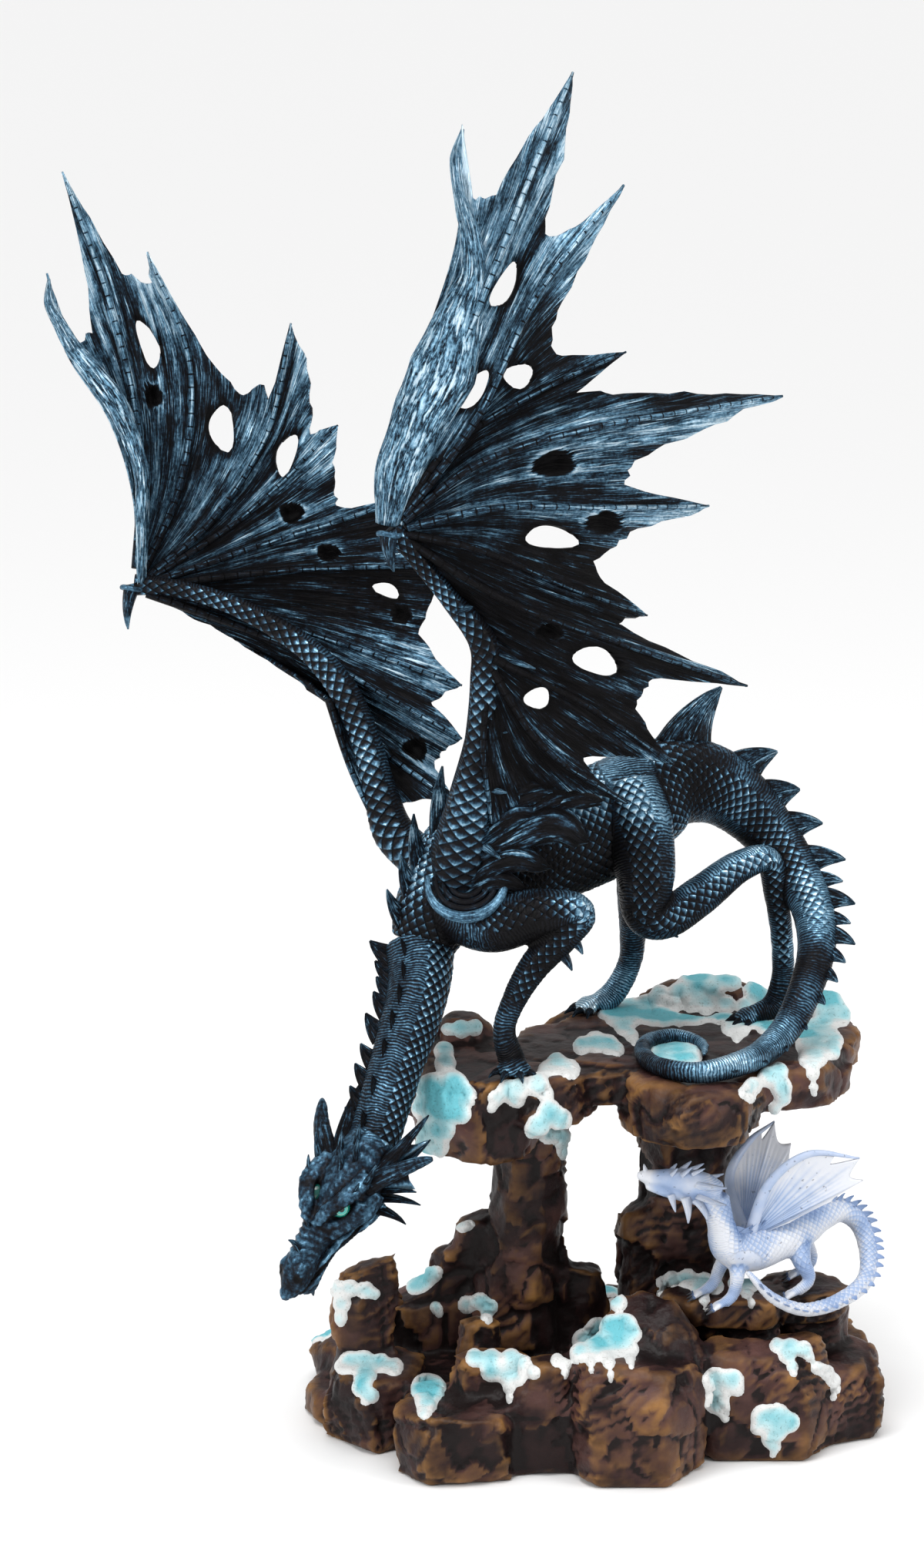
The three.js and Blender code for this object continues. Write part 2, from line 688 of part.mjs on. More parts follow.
function headAndNeck() {
  const stations = skull.map(([along, above, wide, high]) => [...headPoint([along, 0, above]), wide, high]);
  const parts = [
    tube(neck, neckTube),
    tube(stations, { sides: 10, steps: 1, up: headFrame.above }),
  ];
  for (const side of [1, -1]) {
    for (const [root, tip, radius] of headSpikes) {
      const mirrored = [root, tip].map(([a, l, u]) => headPoint([a, l * side, u]));
      parts.push(thorn(...mirrored, radius, { flat: 0.8 }));
    }
    const brow = [[14, 14, 11, 4, 3.4], [24, 12, 13, 4.4, 3.6], [33, 8, 13, 4, 3], [38, 4, 12, 2, 2]];
    const browStations = brow.map(([a, l, u, w, h]) => [...headPoint([a, l * side, u]), w, h]);
    parts.push(tube(browStations, { sides: 6, steps: 1, up: headFrame.above }));
  }
  for (const [root, tip, radius] of skullSpikes) {
    parts.push(thorn(headPoint(root), headPoint(tip), radius));
  }
  parts.push(...blades(neck, neckBlades, { up: neckTube.up }));
  parts.push(...blades(neck, evenBlades(0.08, 0.8, 7, 5, 9, -1), { up: neckTube.up, turn: 1.1 }));
  return join(parts).subtract(beyond(seam.at, seam.along.map((n) => -n)));
}

// Hatchling

function hatchlingSolid() {
  const head = [
    [62, -46, 124, 6, 6.5],
    [50, -46, 128, 7, 7],
    [40, -46, 131, 5, 5.4],
    [31, -46, 132, 3.8, 4.2],
    [24, -46, 133, 2.6, 3],
  ];
  const parts = [tube(hatchlingSpine, hatchlingTube), tube(head, { sides: 8, steps: 1 })];
  const legs = [
    [[72, -44, 92, 5, 5], [72, -52, 84, 3.6, 3.6], [70, -54, 76, 3, 3], [66, -57, 73, 3, 2.4]],
    [[74, -32, 92, 5, 5], [66, -32, 84, 3.6, 3.6], [62, -36, 76, 3, 3], [58, -39, 73, 3, 2.4]],
    [[104, -26, 98, 6, 6], [104, -36, 88, 5, 5], [108, -38, 78, 3, 3], [102, -41, 73, 3, 2.4]],
    [[104, -14, 96, 6, 6], [108, -6, 86, 5, 5], [112, -8, 78, 3, 3], [106, -12, 73, 3, 2.4]],
  ];
  for (const leg of legs) parts.push(tube(leg, { sides: 6, steps: 1, up: [0, 1, 0.2] }));
  for (const { root, edge } of hatchlingWings) {
    const sheet = (depth) => edge.map((end) => [0.06, 1].map((share) => {
      return vec(root).lerp(vec(end), share).add(new THREE.Vector3(0, depth, 0));
    }));
    parts.push(skin(sheet(-1.2), sheet(1.2)));
    const bones = [[...root, 3, 3], [...edge[0], 2.4, 2.4], [...edge[1], 2, 2], [...edge[2], 1, 1]];
    parts.push(tube(bones, { sides: 5, steps: 1, up: [0, -1, 0] }));
  }
  for (const side of [1, -1]) {
    parts.push(thorn([54, -46 - 5 * side, 128], [64, -46 - 11 * side, 130], 2.6));
    parts.push(thorn([54, -46 - 5 * side, 124], [57, -46 - 10 * side, 116], 3));
    parts.push(thorn([48, -46 - 5 * side, 124], [47, -46 - 8 * side, 114], 3));
    parts.push(thorn([44, -46 - 3 * side, 133], [49, -46 - 4 * side, 140], 1.8));
  }
  return join(parts);
}

// Plinth

function plinthSolid() {
  const splinter = { turn: 0.6, lean: [3, 0], tilt: [0.14, 0] };
  const leaningSlab = { turn: 0.4, lean: [3, 10], tilt: [0.12, 0.3], crown: 0.62 };
  const rocks = [
    // The lobed ring of the base, from the left round the front to the back
    { at: [-116, -8], half: [23, 28], from: 0, to: 15, seed: 1 },
    { at: [-100, -38], half: [27, 32], from: 0, to: 36, seed: 2, turn: 0.4 },
    { at: [-61, -80], half: [32, 34], from: 0, to: 33, seed: 3, turn: 0.2, crown: 0.92 },
    { at: [-20, -72], half: [28, 28], from: 0, to: 44, seed: 4 },
    { at: [22, -82], half: [36, 34], from: 0, to: 54, seed: 5, turn: 0.9, tilt: [-0.1, 0] },
    { at: [84, -54], half: [36, 30], from: 0, to: 46, seed: 6 },
    { at: [122, -26], half: [25, 34], from: 0, to: 38, seed: 7, turn: 0.3 },
    { at: [118, 24], half: [29, 40], from: 0, to: 30, seed: 8 },
    { at: [70, 66], half: [44, 40], from: 0, to: 28, seed: 9, turn: 0.5 },
    { at: [6, 76], half: [48, 34], from: 0, to: 26, seed: 10 },
    { at: [-58, 62], half: [44, 36], from: 0, to: 30, seed: 11, turn: 0.2 },
    { at: [-104, 26], half: [32, 38], from: 0, to: 24, seed: 12 },
    { at: [10, 0], half: [120, 84], from: 0, to: basinTop, seed: 13, sides: 10, crown: 0.95 },
    // Upright stone at the left, low mound and stub behind it
    { at: [-109, -30], half: [18, 11], from: 12, to: 89, seed: 14, ...splinter },
    { at: [-84, 14], half: [22, 18], from: 10, to: 62, seed: 15, tilt: [0.3, 0] },
    { at: [-54, 12], half: [12, 13], from: 10, to: 98, seed: 16, tilt: [0.1, 0] },
    { at: [-66, 10], half: [12, 12], from: 10, to: 82, seed: 46, tilt: [0.1, 0] },
    { at: [-51, -38], half: [13, 10], from: 15, to: 58, seed: 17, crown: 0.9 },
    // Pillars and the ledge
    { at: [-32, 4], half: [24, 20], from: 10, to: 92, seed: 18, crown: 0.8, lean: [2, 0] },
    { at: [-28, 2], half: [19, 19], from: 60, to: 165, seed: 19, bulge: 0.4, crown: 1.05 },
    { at: [-2, 4], half: [16, 12], from: 15, to: 68, seed: 20, tilt: [-0.1, 0] },
    { at: [54, 26], half: [27, 23], from: 10, to: 165, seed: 21, bulge: 0.6, crown: 1.05 },
    { at: [30, 18], half: [15, 15], from: 12, to: 103, seed: 22, tilt: [0.1, 0] },
    { at: [54, -28], half: [13, 12], from: 15, to: ledgeTop - 8, seed: 23, bulge: 0.8, crown: 1.1 },
    { at: [78, -30], half: [15, 12], from: 15, to: ledgeTop - 8, seed: 24, bulge: 0.8, crown: 1.1 },
    { at: [112, -14], half: [16, 16], from: 15, to: ledgeTop - 8, seed: 25, bulge: 0.8, crown: 1.1 },
    // Front stones; the largest is a leaning slab in two steps
    { at: [22, -76], half: [31, 24], from: 10, to: 84, seed: 47, ...leaningSlab },
    { at: [74, -66], half: [27, 15], from: 14, to: 54, seed: 26, tilt: [-0.1, 0.1] },
    { at: [100, -58], half: [16, 14], from: 14, to: 58, seed: 27, tilt: [0.1, 0] },
    { at: [-48, -70], half: [19, 14], from: 14, to: 52, seed: 28, crown: 0.9 },
    { at: [-18, -84], half: [15, 13], from: 10, to: 55, seed: 29 },
  ];
  const slabs = [
    // The upper slab, in lobes that differ in depth
    { at: [-50, -16], half: [33, 46], deep: 42, seed: 31 },
    { at: [-76, 4], half: [17, 28], deep: 30, seed: 38 },
    { at: [-22, -30], half: [27, 32], deep: 24, seed: 32 },
    { at: [8, 8], half: [46, 54], deep: 17, seed: 33 },
    { at: [50, -34], half: [36, 48], deep: 28, seed: 34 },
    { at: [88, 8], half: [42, 50], deep: 22, seed: 35 },
    { at: [106, 42], half: [33, 46], deep: 18, seed: 36 },
    { at: [42, 56], half: [62, 38], deep: 20, seed: 37 },
  ];
  const ledges = [
    { at: [72, -32], half: [37, 18], from: ledgeTop - 14, to: ledgeTop, seed: 41, crown: 0.96, sides: 9 },
    { at: [106, -20], half: [24, 20], from: ledgeTop - 16, to: ledgeTop, seed: 42, crown: 0.96, sides: 8 },
  ];
  const parts = rocks.map(rock);
  for (const { at, half, deep, seed } of slabs) {
    const lobe = { sides: 8, bulge: 0.6, crown: 0.96 };
    parts.push(rock({ at, half, from: slabTop - deep, to: slabTop, seed, ...lobe }));
  }
  const back = { from: slabTop - 15, crown: 0.6 };
  parts.push(rock({ at: [64, 84], half: [34, 16], to: slabTop + 12, seed: 43, ...back }));
  parts.push(rock({ at: [118, 66], half: [18, 22], to: slabTop + 10, seed: 44, ...back }));
  parts.push(rock({ at: [-60, 20], half: [14, 16], to: slabTop + 12, seed: 45, ...back }));
  parts.push(...ledges.map(rock));
  return join(parts).subtract(beyond([0, 0, 0], [0, 0, -1]));
}

// The pieces, each trimmed to its neighbours

const aboveSlab = [0, 0, slabTop + fitGap];
const plinth = plinthSolid().subtract(tube(hatchlingSpine, { ...hatchlingTube, grow: fitGap * 1.4 }));
const leftArm = wingSolid(leftWing);
const rightArm = wingSolid(rightWing);
const seamCut = seam.at.map((n, i) => n - seam.along[i] * fitGap);
const body = dragonBody()
  .subtract(beyond(aboveSlab, [0, 0, -1]))
  .subtract(beyond(seamCut, seam.along, 2 * seamReach))
  .subtract(tube(neck, { ...neckTube, grow: fitGap * 1.4 }))
  .subtract(tube(leftWing.arm, { grow: fitGap * 1.4, steps: 1 }))
  .subtract(tube(rightWing.arm, { grow: fitGap * 1.4, steps: 1 }));
const hatchling = hatchlingSolid();

const statue = new THREE.Group();
statue.add(
  mesh('plinth', plinth, finish.rock),
  mesh('dragon_body', body, finish.dragon),
  mesh('head_neck', headAndNeck(), finish.dragon),
  mesh('left_wing', leftArm, finish.dragon),
  mesh('right_wing', rightArm, finish.dragon),
  mesh('hatchling', hatchling, finish.hatchling),
);

export default statue;
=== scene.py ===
import math

import bpy
import numpy as np
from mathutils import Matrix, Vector
from mathutils.bvhtree import BVHTree


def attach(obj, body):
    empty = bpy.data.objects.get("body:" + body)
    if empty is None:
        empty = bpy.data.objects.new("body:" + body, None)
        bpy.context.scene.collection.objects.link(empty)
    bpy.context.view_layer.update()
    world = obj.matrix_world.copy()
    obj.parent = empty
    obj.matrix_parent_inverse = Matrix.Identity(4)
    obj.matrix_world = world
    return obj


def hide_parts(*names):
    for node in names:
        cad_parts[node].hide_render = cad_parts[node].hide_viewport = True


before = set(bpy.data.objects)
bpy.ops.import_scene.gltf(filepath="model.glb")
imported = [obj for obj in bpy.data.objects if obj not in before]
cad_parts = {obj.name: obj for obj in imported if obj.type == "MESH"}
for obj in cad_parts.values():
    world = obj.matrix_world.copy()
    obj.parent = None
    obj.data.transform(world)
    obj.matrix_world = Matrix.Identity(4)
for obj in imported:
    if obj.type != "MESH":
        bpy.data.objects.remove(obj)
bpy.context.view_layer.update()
mm = 0.001
turn = 2 * math.pi
hashSteps = np.array([73856093, 19349663, 83492791])  # scatter the cells of a lattice


# Numbers and noise
def unit(rows):
    # each row over its own length
    rows = np.asarray(rows, float)
    return rows / np.maximum(np.linalg.norm(rows, axis=-1, keepdims=True), 1e-9)


def ramp(low, high, values):
    # 0 below low, 1 above high, an S curve between; low may be the larger
    x = np.clip((values - low) / (high - low), 0, 1)
    return x * x * (3 - 2 * x)


def noise(points, pitch, seed=1):
    # smooth chance values from -1 to 1: hashed values at the corners of a lattice, mixed
    # across each cell with an S curve
    points = np.asarray(points, float) / pitch
    cell = np.floor(points).astype(np.int64)
    share = points - cell
    share = share * share * (3 - 2 * share)
    total = np.zeros(len(points))
    for corner in range(8):
        step = np.array([corner & 1, corner >> 1 & 1, corner >> 2 & 1])
        spot = (cell + step) * hashSteps
        code = spot[:, 0] ^ spot[:, 1] ^ spot[:, 2] ^ (seed * 2654435761)
        code = ((code ^ (code >> 13)) * 1274126177) & 0x7fffffff
        value = ((code ^ (code >> 15)) & 0xffff) / 32767.5 - 1
        total += value * np.prod(np.where(step == 1, share, 1 - share), axis=1)
    return total


def roughNoise(points, pitch, seed=1, octaves=3):
    # noise at a pitch, plus half as much at half the pitch, and so on
    return sum(noise(points, pitch / 2 ** k, seed + k) / 2 ** k for k in range(octaves))


# Paths and tubes
def spline(rows, perSpan):
    # centripetal Catmull-Rom curve through the first three columns; the other columns are
    # mixed in a straight line; perSpan equal steps from each row to the next
    rows = np.asarray(rows, float)
    at = rows[:, :3]
    padded = np.vstack([2 * at[0] - at[1], at, 2 * at[-1] - at[-2]])
    p0, p1, p2, p3 = padded[:-3], padded[1:-2], padded[2:-1], padded[3:]
    d0, d1, d2 = (np.sqrt(np.linalg.norm(b - a, axis=1))[:, None]
                  for a, b in ((p0, p1), (p1, p2), (p2, p3)))
    m1 = ((p1 - p0) / d0 - (p2 - p0) / (d0 + d1) + (p2 - p1) / d1) * d1
    m2 = ((p2 - p1) / d1 - (p3 - p1) / (d1 + d2) + (p3 - p2) / d2) * d1
    p1, p2, m1, m2 = (v[:, None] for v in (p1, p2, m1, m2))
    t = (np.arange(perSpan) / perSpan)[None, :, None]
    curve = (p1 + t * m1 + t ** 2 * (3 * p2 - 3 * p1 - 2 * m1 - m2)
             + t ** 3 * (2 * p1 - 2 * p2 + m1 + m2))
    others = rows[:-1, None, 3:] * (1 - t) + rows[1:, None, 3:] * t
    both = np.concatenate([curve, others], axis=2).reshape(-1, rows.shape[1])
    return np.vstack([both, rows[-1]])


def straight(points, places):
    # on straight lines from point to point, at places counted in points
    return np.stack([np.interp(places, np.arange(len(points)), points[:, k]) for k in range(3)], 1)


def layPath(rows, perSpan, up=(0, 0, 1)):
    # rings along a spline: centre, direction, a side and an upward vector that turn as
    # little as they can, two half widths, and the length so far
    curve = spline(rows, perSpan)
    centre = curve[:, :3]
    along = unit(np.gradient(centre, axis=0))
    above = np.empty_like(centre)
    held = np.array(up, float)
    for k, direction in enumerate(along):
        held = held - direction * (held @ direction)
        held = held / np.linalg.norm(held)
        above[k] = held
    length = np.r_[0, np.cumsum(np.linalg.norm(np.diff(centre, axis=0), axis=1))]
    return {"centre": centre, "along": along, "above": above, "across": np.cross(along, above),
            "wide": curve[:, 3], "high": curve[:, 4], "length": length}


def part(verts, quads=(), tris=(), **marks):
    # a bare surface: corners, four- and three-sided faces, and values marked on its corners
    return {"verts": np.asarray(verts, float), "quads": np.asarray(quads, int).reshape(-1, 4),
            "tris": np.asarray(tris, int).reshape(-1, 3), "marks": marks}


def tube(path, sides, swell=None, cell=6.5, **marks):
    # centre + across * wide * cos(angle) + above * high * sin(angle), closed at both ends;
    # swell(length, angle) adds to the radius, and a cell of the paint's pattern is so long
    angle = np.arange(sides) / sides * turn
    radius = (path["wide"].mean() + path["high"].mean()) / 2
    marks.setdefault("along", lambda length, angle: length / cell)
    marks.setdefault("around", lambda length, angle: ((angle + turn / 4) % turn) * radius / cell)
    wide, high = path["wide"][:, None], path["high"][:, None]
    if swell is not None:
        more = swell(path["length"][:, None], angle[None])
        wide, high = wide + more, high + more
    ring = (path["centre"][:, None] + path["across"][:, None] * (wide * np.cos(angle))[..., None]
            + path["above"][:, None] * (high * np.sin(angle))[..., None])
    count = len(ring)
    k, j = np.meshgrid(np.arange(count - 1), np.arange(sides), indexing="ij")
    a, b = k * sides + j, k * sides + (j + 1) % sides
    quads = np.stack([a, a + sides, b + sides, b], axis=-1)
    j = np.arange(sides)
    after = (j + 1) % sides
    last = (count - 1) * sides
    first = np.full(sides, count * sides)
    tris = np.vstack([np.stack([first, j, after], 1), np.stack([first + 1, last + after, last + j], 1)])
    verts = np.vstack([ring.reshape(-1, 3), path["centre"][0], path["centre"][-1]])

    def spread(value):
        # a mark, one value or worked out from length and angle, on every corner; 0 at the ends
        if callable(value):
            value = value(path["length"][:, None], angle[None])
        return np.r_[np.broadcast_to(value, (count, sides)).ravel(), 0, 0]
    return part(verts, quads, tris, **{name: spread(value) for name, value in marks.items()})


def joined(parts):
    # all parts as one; a mark that a part lacks is 0 there
    names = sorted({name for p in parts for name in p["marks"]})
    starts = np.cumsum([0] + [len(p["verts"]) for p in parts])
    made = part(np.vstack([p["verts"] for p in parts]),
                np.vstack([p["quads"] + s for p, s in zip(parts, starts)]),
                np.vstack([p["tris"] + s for p, s in zip(parts, starts)]))
    for name in names:
        made["marks"][name] = np.concatenate([
            np.broadcast_to(p["marks"].get(name, 0.0), len(p["verts"])) for p in parts])
    return made


def sheetGrid(rows, columns):
    # the four-sided faces of a grid of corners, row after row
    i, j = np.meshgrid(np.arange(rows - 1), np.arange(columns - 1), indexing="ij")
    a = (i * columns + j).ravel()
    return np.stack([a, a + 1, a + columns + 1, a + columns], axis=1)


def twoSided(front, back, quads, **marks):
    # a front and a back sheet of the same faces, joined by a rim along every open edge
    count = len(front)
    a, b = quads.ravel(), np.roll(quads, -1, axis=1).ravel()
    forth, home = a * count + b, b * count + a
    single = ~np.isin(forth, home)
    a, b = a[single], b[single]
    rim = np.stack([b, a, a + count, b + count], axis=1)
    faces = np.vstack([quads, quads[:, ::-1] + count, rim])
    return part(np.vstack([front, back]), faces, **{n: np.r_[v, v] for n, v in marks.items()})


# Meshes
# Marks are values on the corners, which the paints read. Along and around count the cells of a
# piece's pattern; scaly, ribbed, grained and notched switch reliefs on; paint is what the dry
# brush leaves, with painted light and shade in it on the dragon; proud, wide and shade are the
# stone's, with painted shade under the slab in wide, and tone is the snow's.
def meshOf(name, surface):
    # the surface as a mesh, in metres, smooth shaded, with its marks as attributes
    verts, quads, tris = surface["verts"] * mm, surface["quads"], surface["tris"]
    mesh = bpy.data.meshes.new(name)
    mesh.vertices.add(len(verts))
    mesh.vertices.foreach_set("co", verts.astype(np.float32).ravel())
    corners = np.concatenate([quads.ravel(), tris.ravel()])
    starts = np.concatenate([np.arange(len(quads)) * 4, len(quads) * 4 + np.arange(len(tris)) * 3])
    mesh.loops.add(len(corners))
    mesh.loops.foreach_set("vertex_index", corners.astype(np.int32))
    mesh.polygons.add(len(starts))
    mesh.polygons.foreach_set("loop_start", starts.astype(np.int32))
    mesh.polygons.foreach_set("use_smooth", np.ones(len(starts), bool))
    for mark, values in surface["marks"].items():
        kept = mesh.attributes.new(mark, "FLOAT", "POINT")
        kept.data.foreach_set("value", np.asarray(values, np.float32))
    mesh.update(calc_edges=True)
    mesh.validate()
    return mesh


def place(name, surface, slot, material, *nodes):
    # the surface as a piece of the statue, riding on its one body, in place of CAD nodes
    made = bpy.data.objects.new(name, meshOf(name, surface))
    bpy.context.scene.collection.objects.link(made)
    made.data.materials.append(material)
    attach(made, "root")
    if nodes:
        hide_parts(*nodes)
    print(name, len(surface["quads"]) * 2 + len(surface["tris"]), "triangles")
    return made


def oneSkin(surface, voxel):
    # one closed skin over parts that overlap: a voxel remesh, read back as corners and faces
    holder = bpy.data.objects.new("holder", meshOf("holder", surface))
    bpy.context.scene.collection.objects.link(holder)
    wrap = holder.modifiers.new("wrap", "REMESH")
    wrap.mode = "VOXEL"
    wrap.voxel_size = voxel * mm
    made = holder.evaluated_get(bpy.context.evaluated_depsgraph_get()).to_mesh()
    verts = np.empty(len(made.vertices) * 3, np.float32)
    made.vertices.foreach_get("co", verts)
    corners = np.empty(len(made.loops), np.int32)
    made.loops.foreach_get("vertex_index", corners)
    skin = part(verts.reshape(-1, 3) / mm, corners.reshape(-1, 4))
    raw = holder.data
    bpy.data.objects.remove(holder)
    bpy.data.meshes.remove(raw)
    return skin


def meanOfNeighbours(values, quads):
    # at each corner, the mean of the corners that it shares an edge with
    a, b = quads.ravel(), np.roll(quads, -1, axis=1).ravel()
    a, b = np.r_[a, b], np.r_[b, a]
    count = np.maximum(np.bincount(a, minlength=len(values)), 1)
    columns = values.reshape(len(values), -1)
    total = [np.bincount(a, columns[b, k], len(values)) / count for k in range(columns.shape[1])]
    return np.stack(total, axis=1).reshape(values.shape)


def calmed(values, quads, rounds):
    # so many rounds of moving 0.6 of the way to the neighbours' mean
    for _ in range(rounds):
        values = values + 0.6 * (meanOfNeighbours(values, quads) - values)
    return values


def outwardOf(verts, quads):
    # at each corner, the sum over its faces of the cross of their diagonals, made a unit
    cross = np.cross(verts[quads[:, 2]] - verts[quads[:, 0]], verts[quads[:, 3]] - verts[quads[:, 1]])
    total = [np.bincount(quads.ravel(), np.repeat(cross[:, k], 4), len(verts)) for k in range(3)]
    return unit(np.stack(total, axis=1))


def proud(verts, quads, rounds):
    # how far each corner stands out of the calmed surface, in millimetres
    return np.einsum("ij,ij->i", verts - calmed(verts, quads, rounds), outwardOf(verts, quads))


def whereOn(path, points, outward):
    # each point's place on a path: length along it, angle round it from the outward side,
    # and distance from its middle as a share of the skin's distance
    centre = path["centre"]
    far = (centre ** 2).sum(1)[None] - 2 * points @ centre.T
    i = far.argmin(axis=1)
    off = points - centre[i]
    across, above, along = path["across"][i], path["above"][i], path["along"][i]
    wide, high = np.maximum(path["wide"][i], 1.5), np.maximum(path["high"][i], 1.5)
    x, y = (off * across).sum(1) / wide, (off * above).sum(1) / high
    z = (off * along).sum(1)
    beyond = np.maximum(np.abs(z) - 2, 0) / wide
    outward = np.array(outward, float)
    angle = np.arctan2(y, x) - np.arctan2(above @ outward, across @ outward)
    angle = (angle + math.pi) % turn - math.pi
    return {"length": path["length"][i] + z, "angle": angle, "share": np.hypot(np.hypot(x, y), beyond),
            "radius": (wide + high) / 2}


# Skin patterns
def scales(u, v):
    # a net of diamonds, one to a cell: with p = u + v and q = u - v, a dome over each unit
    # square of (p, q) that rises toward its free end, so it laps over the next
    p, q = u + v, u - v
    p, q = p - np.round(p), q - np.round(q)
    edge = 0.5 - np.maximum(np.abs(p), np.abs(q))
    return np.clip(edge * 5, 0, 1) ** 0.6 * (0.6 + 0.4 * (p + q))


def pleats(x, sharp=1.6):
    # a fold per whole number, with a sharp crest in its middle
    return (1 - np.abs(2 * (x - np.floor(x)) - 1)) ** sharp


def thorn(root, tip, radius, bend=(0, 0, 0), sides=10, rings=5, flat=0.7, paint=0.6,
          up=(0.2, -0.3, 1), grained=0.7):
    # a curved cone with fine flutes, from inside the body to its tip: its middle is
    # root + (tip - root) * share + bend * share * (1 - share), its radius goes by
    # (1 - share)^0.8, and it pales toward the tip
    root, tip, bend = (np.array(v, float) for v in (root, tip, bend))
    rows = []
    for share in np.linspace(0, 1, rings):
        at = root + (tip - root) * share + bend * share * (1 - share)
        size = radius * (1 - share) ** 0.8 + 0.25
        rows.append([*at, size, size * flat])
    reach = np.linalg.norm(tip - root)

    def flutes(length, angle):
        return 0.05 * radius * np.cos(angle * 5) + 0 * length

    def paler(length, angle):
        return paint * (0.6 + 0.4 * length / reach) + 0 * angle
    return tube(layPath(rows, 3, up), sides, flutes, cell=4.0, paint=paler, grained=grained)


def blades(rows, table, up=(0, 0, 1), turned=0.0, paint=0.68):
    # flat blades on the back of a tube: each is (place as a share of the rows, height, length
    # of base, lean), and curves back like a fin
    path = layPath(rows, 20, up)
    made = []
    for share, height, base, lean in table:
        k = round(share * (len(path["centre"]) - 1))
        along, high = path["along"][k], path["high"][k]
        out = path["above"][k] * math.cos(turned) - path["across"][k] * math.sin(turned)
        root = path["centre"][k] + out * high * 0.8
        tip = path["centre"][k] + out * (high + height) + along * height * lean
        bend = -along * height * 0.45 * np.sign(lean)
        made.append(thorn(root, tip, base / 2, bend=bend, flat=0.24, sides=14, rings=7,
                          up=tuple(np.cross(along, out)), paint=paint, grained=1.0))
    return made


def evenBlades(start, end, count, height, base, lean):
    # a table of equal blades
    return [(share, height, base, lean) for share in np.linspace(start, end, count)]


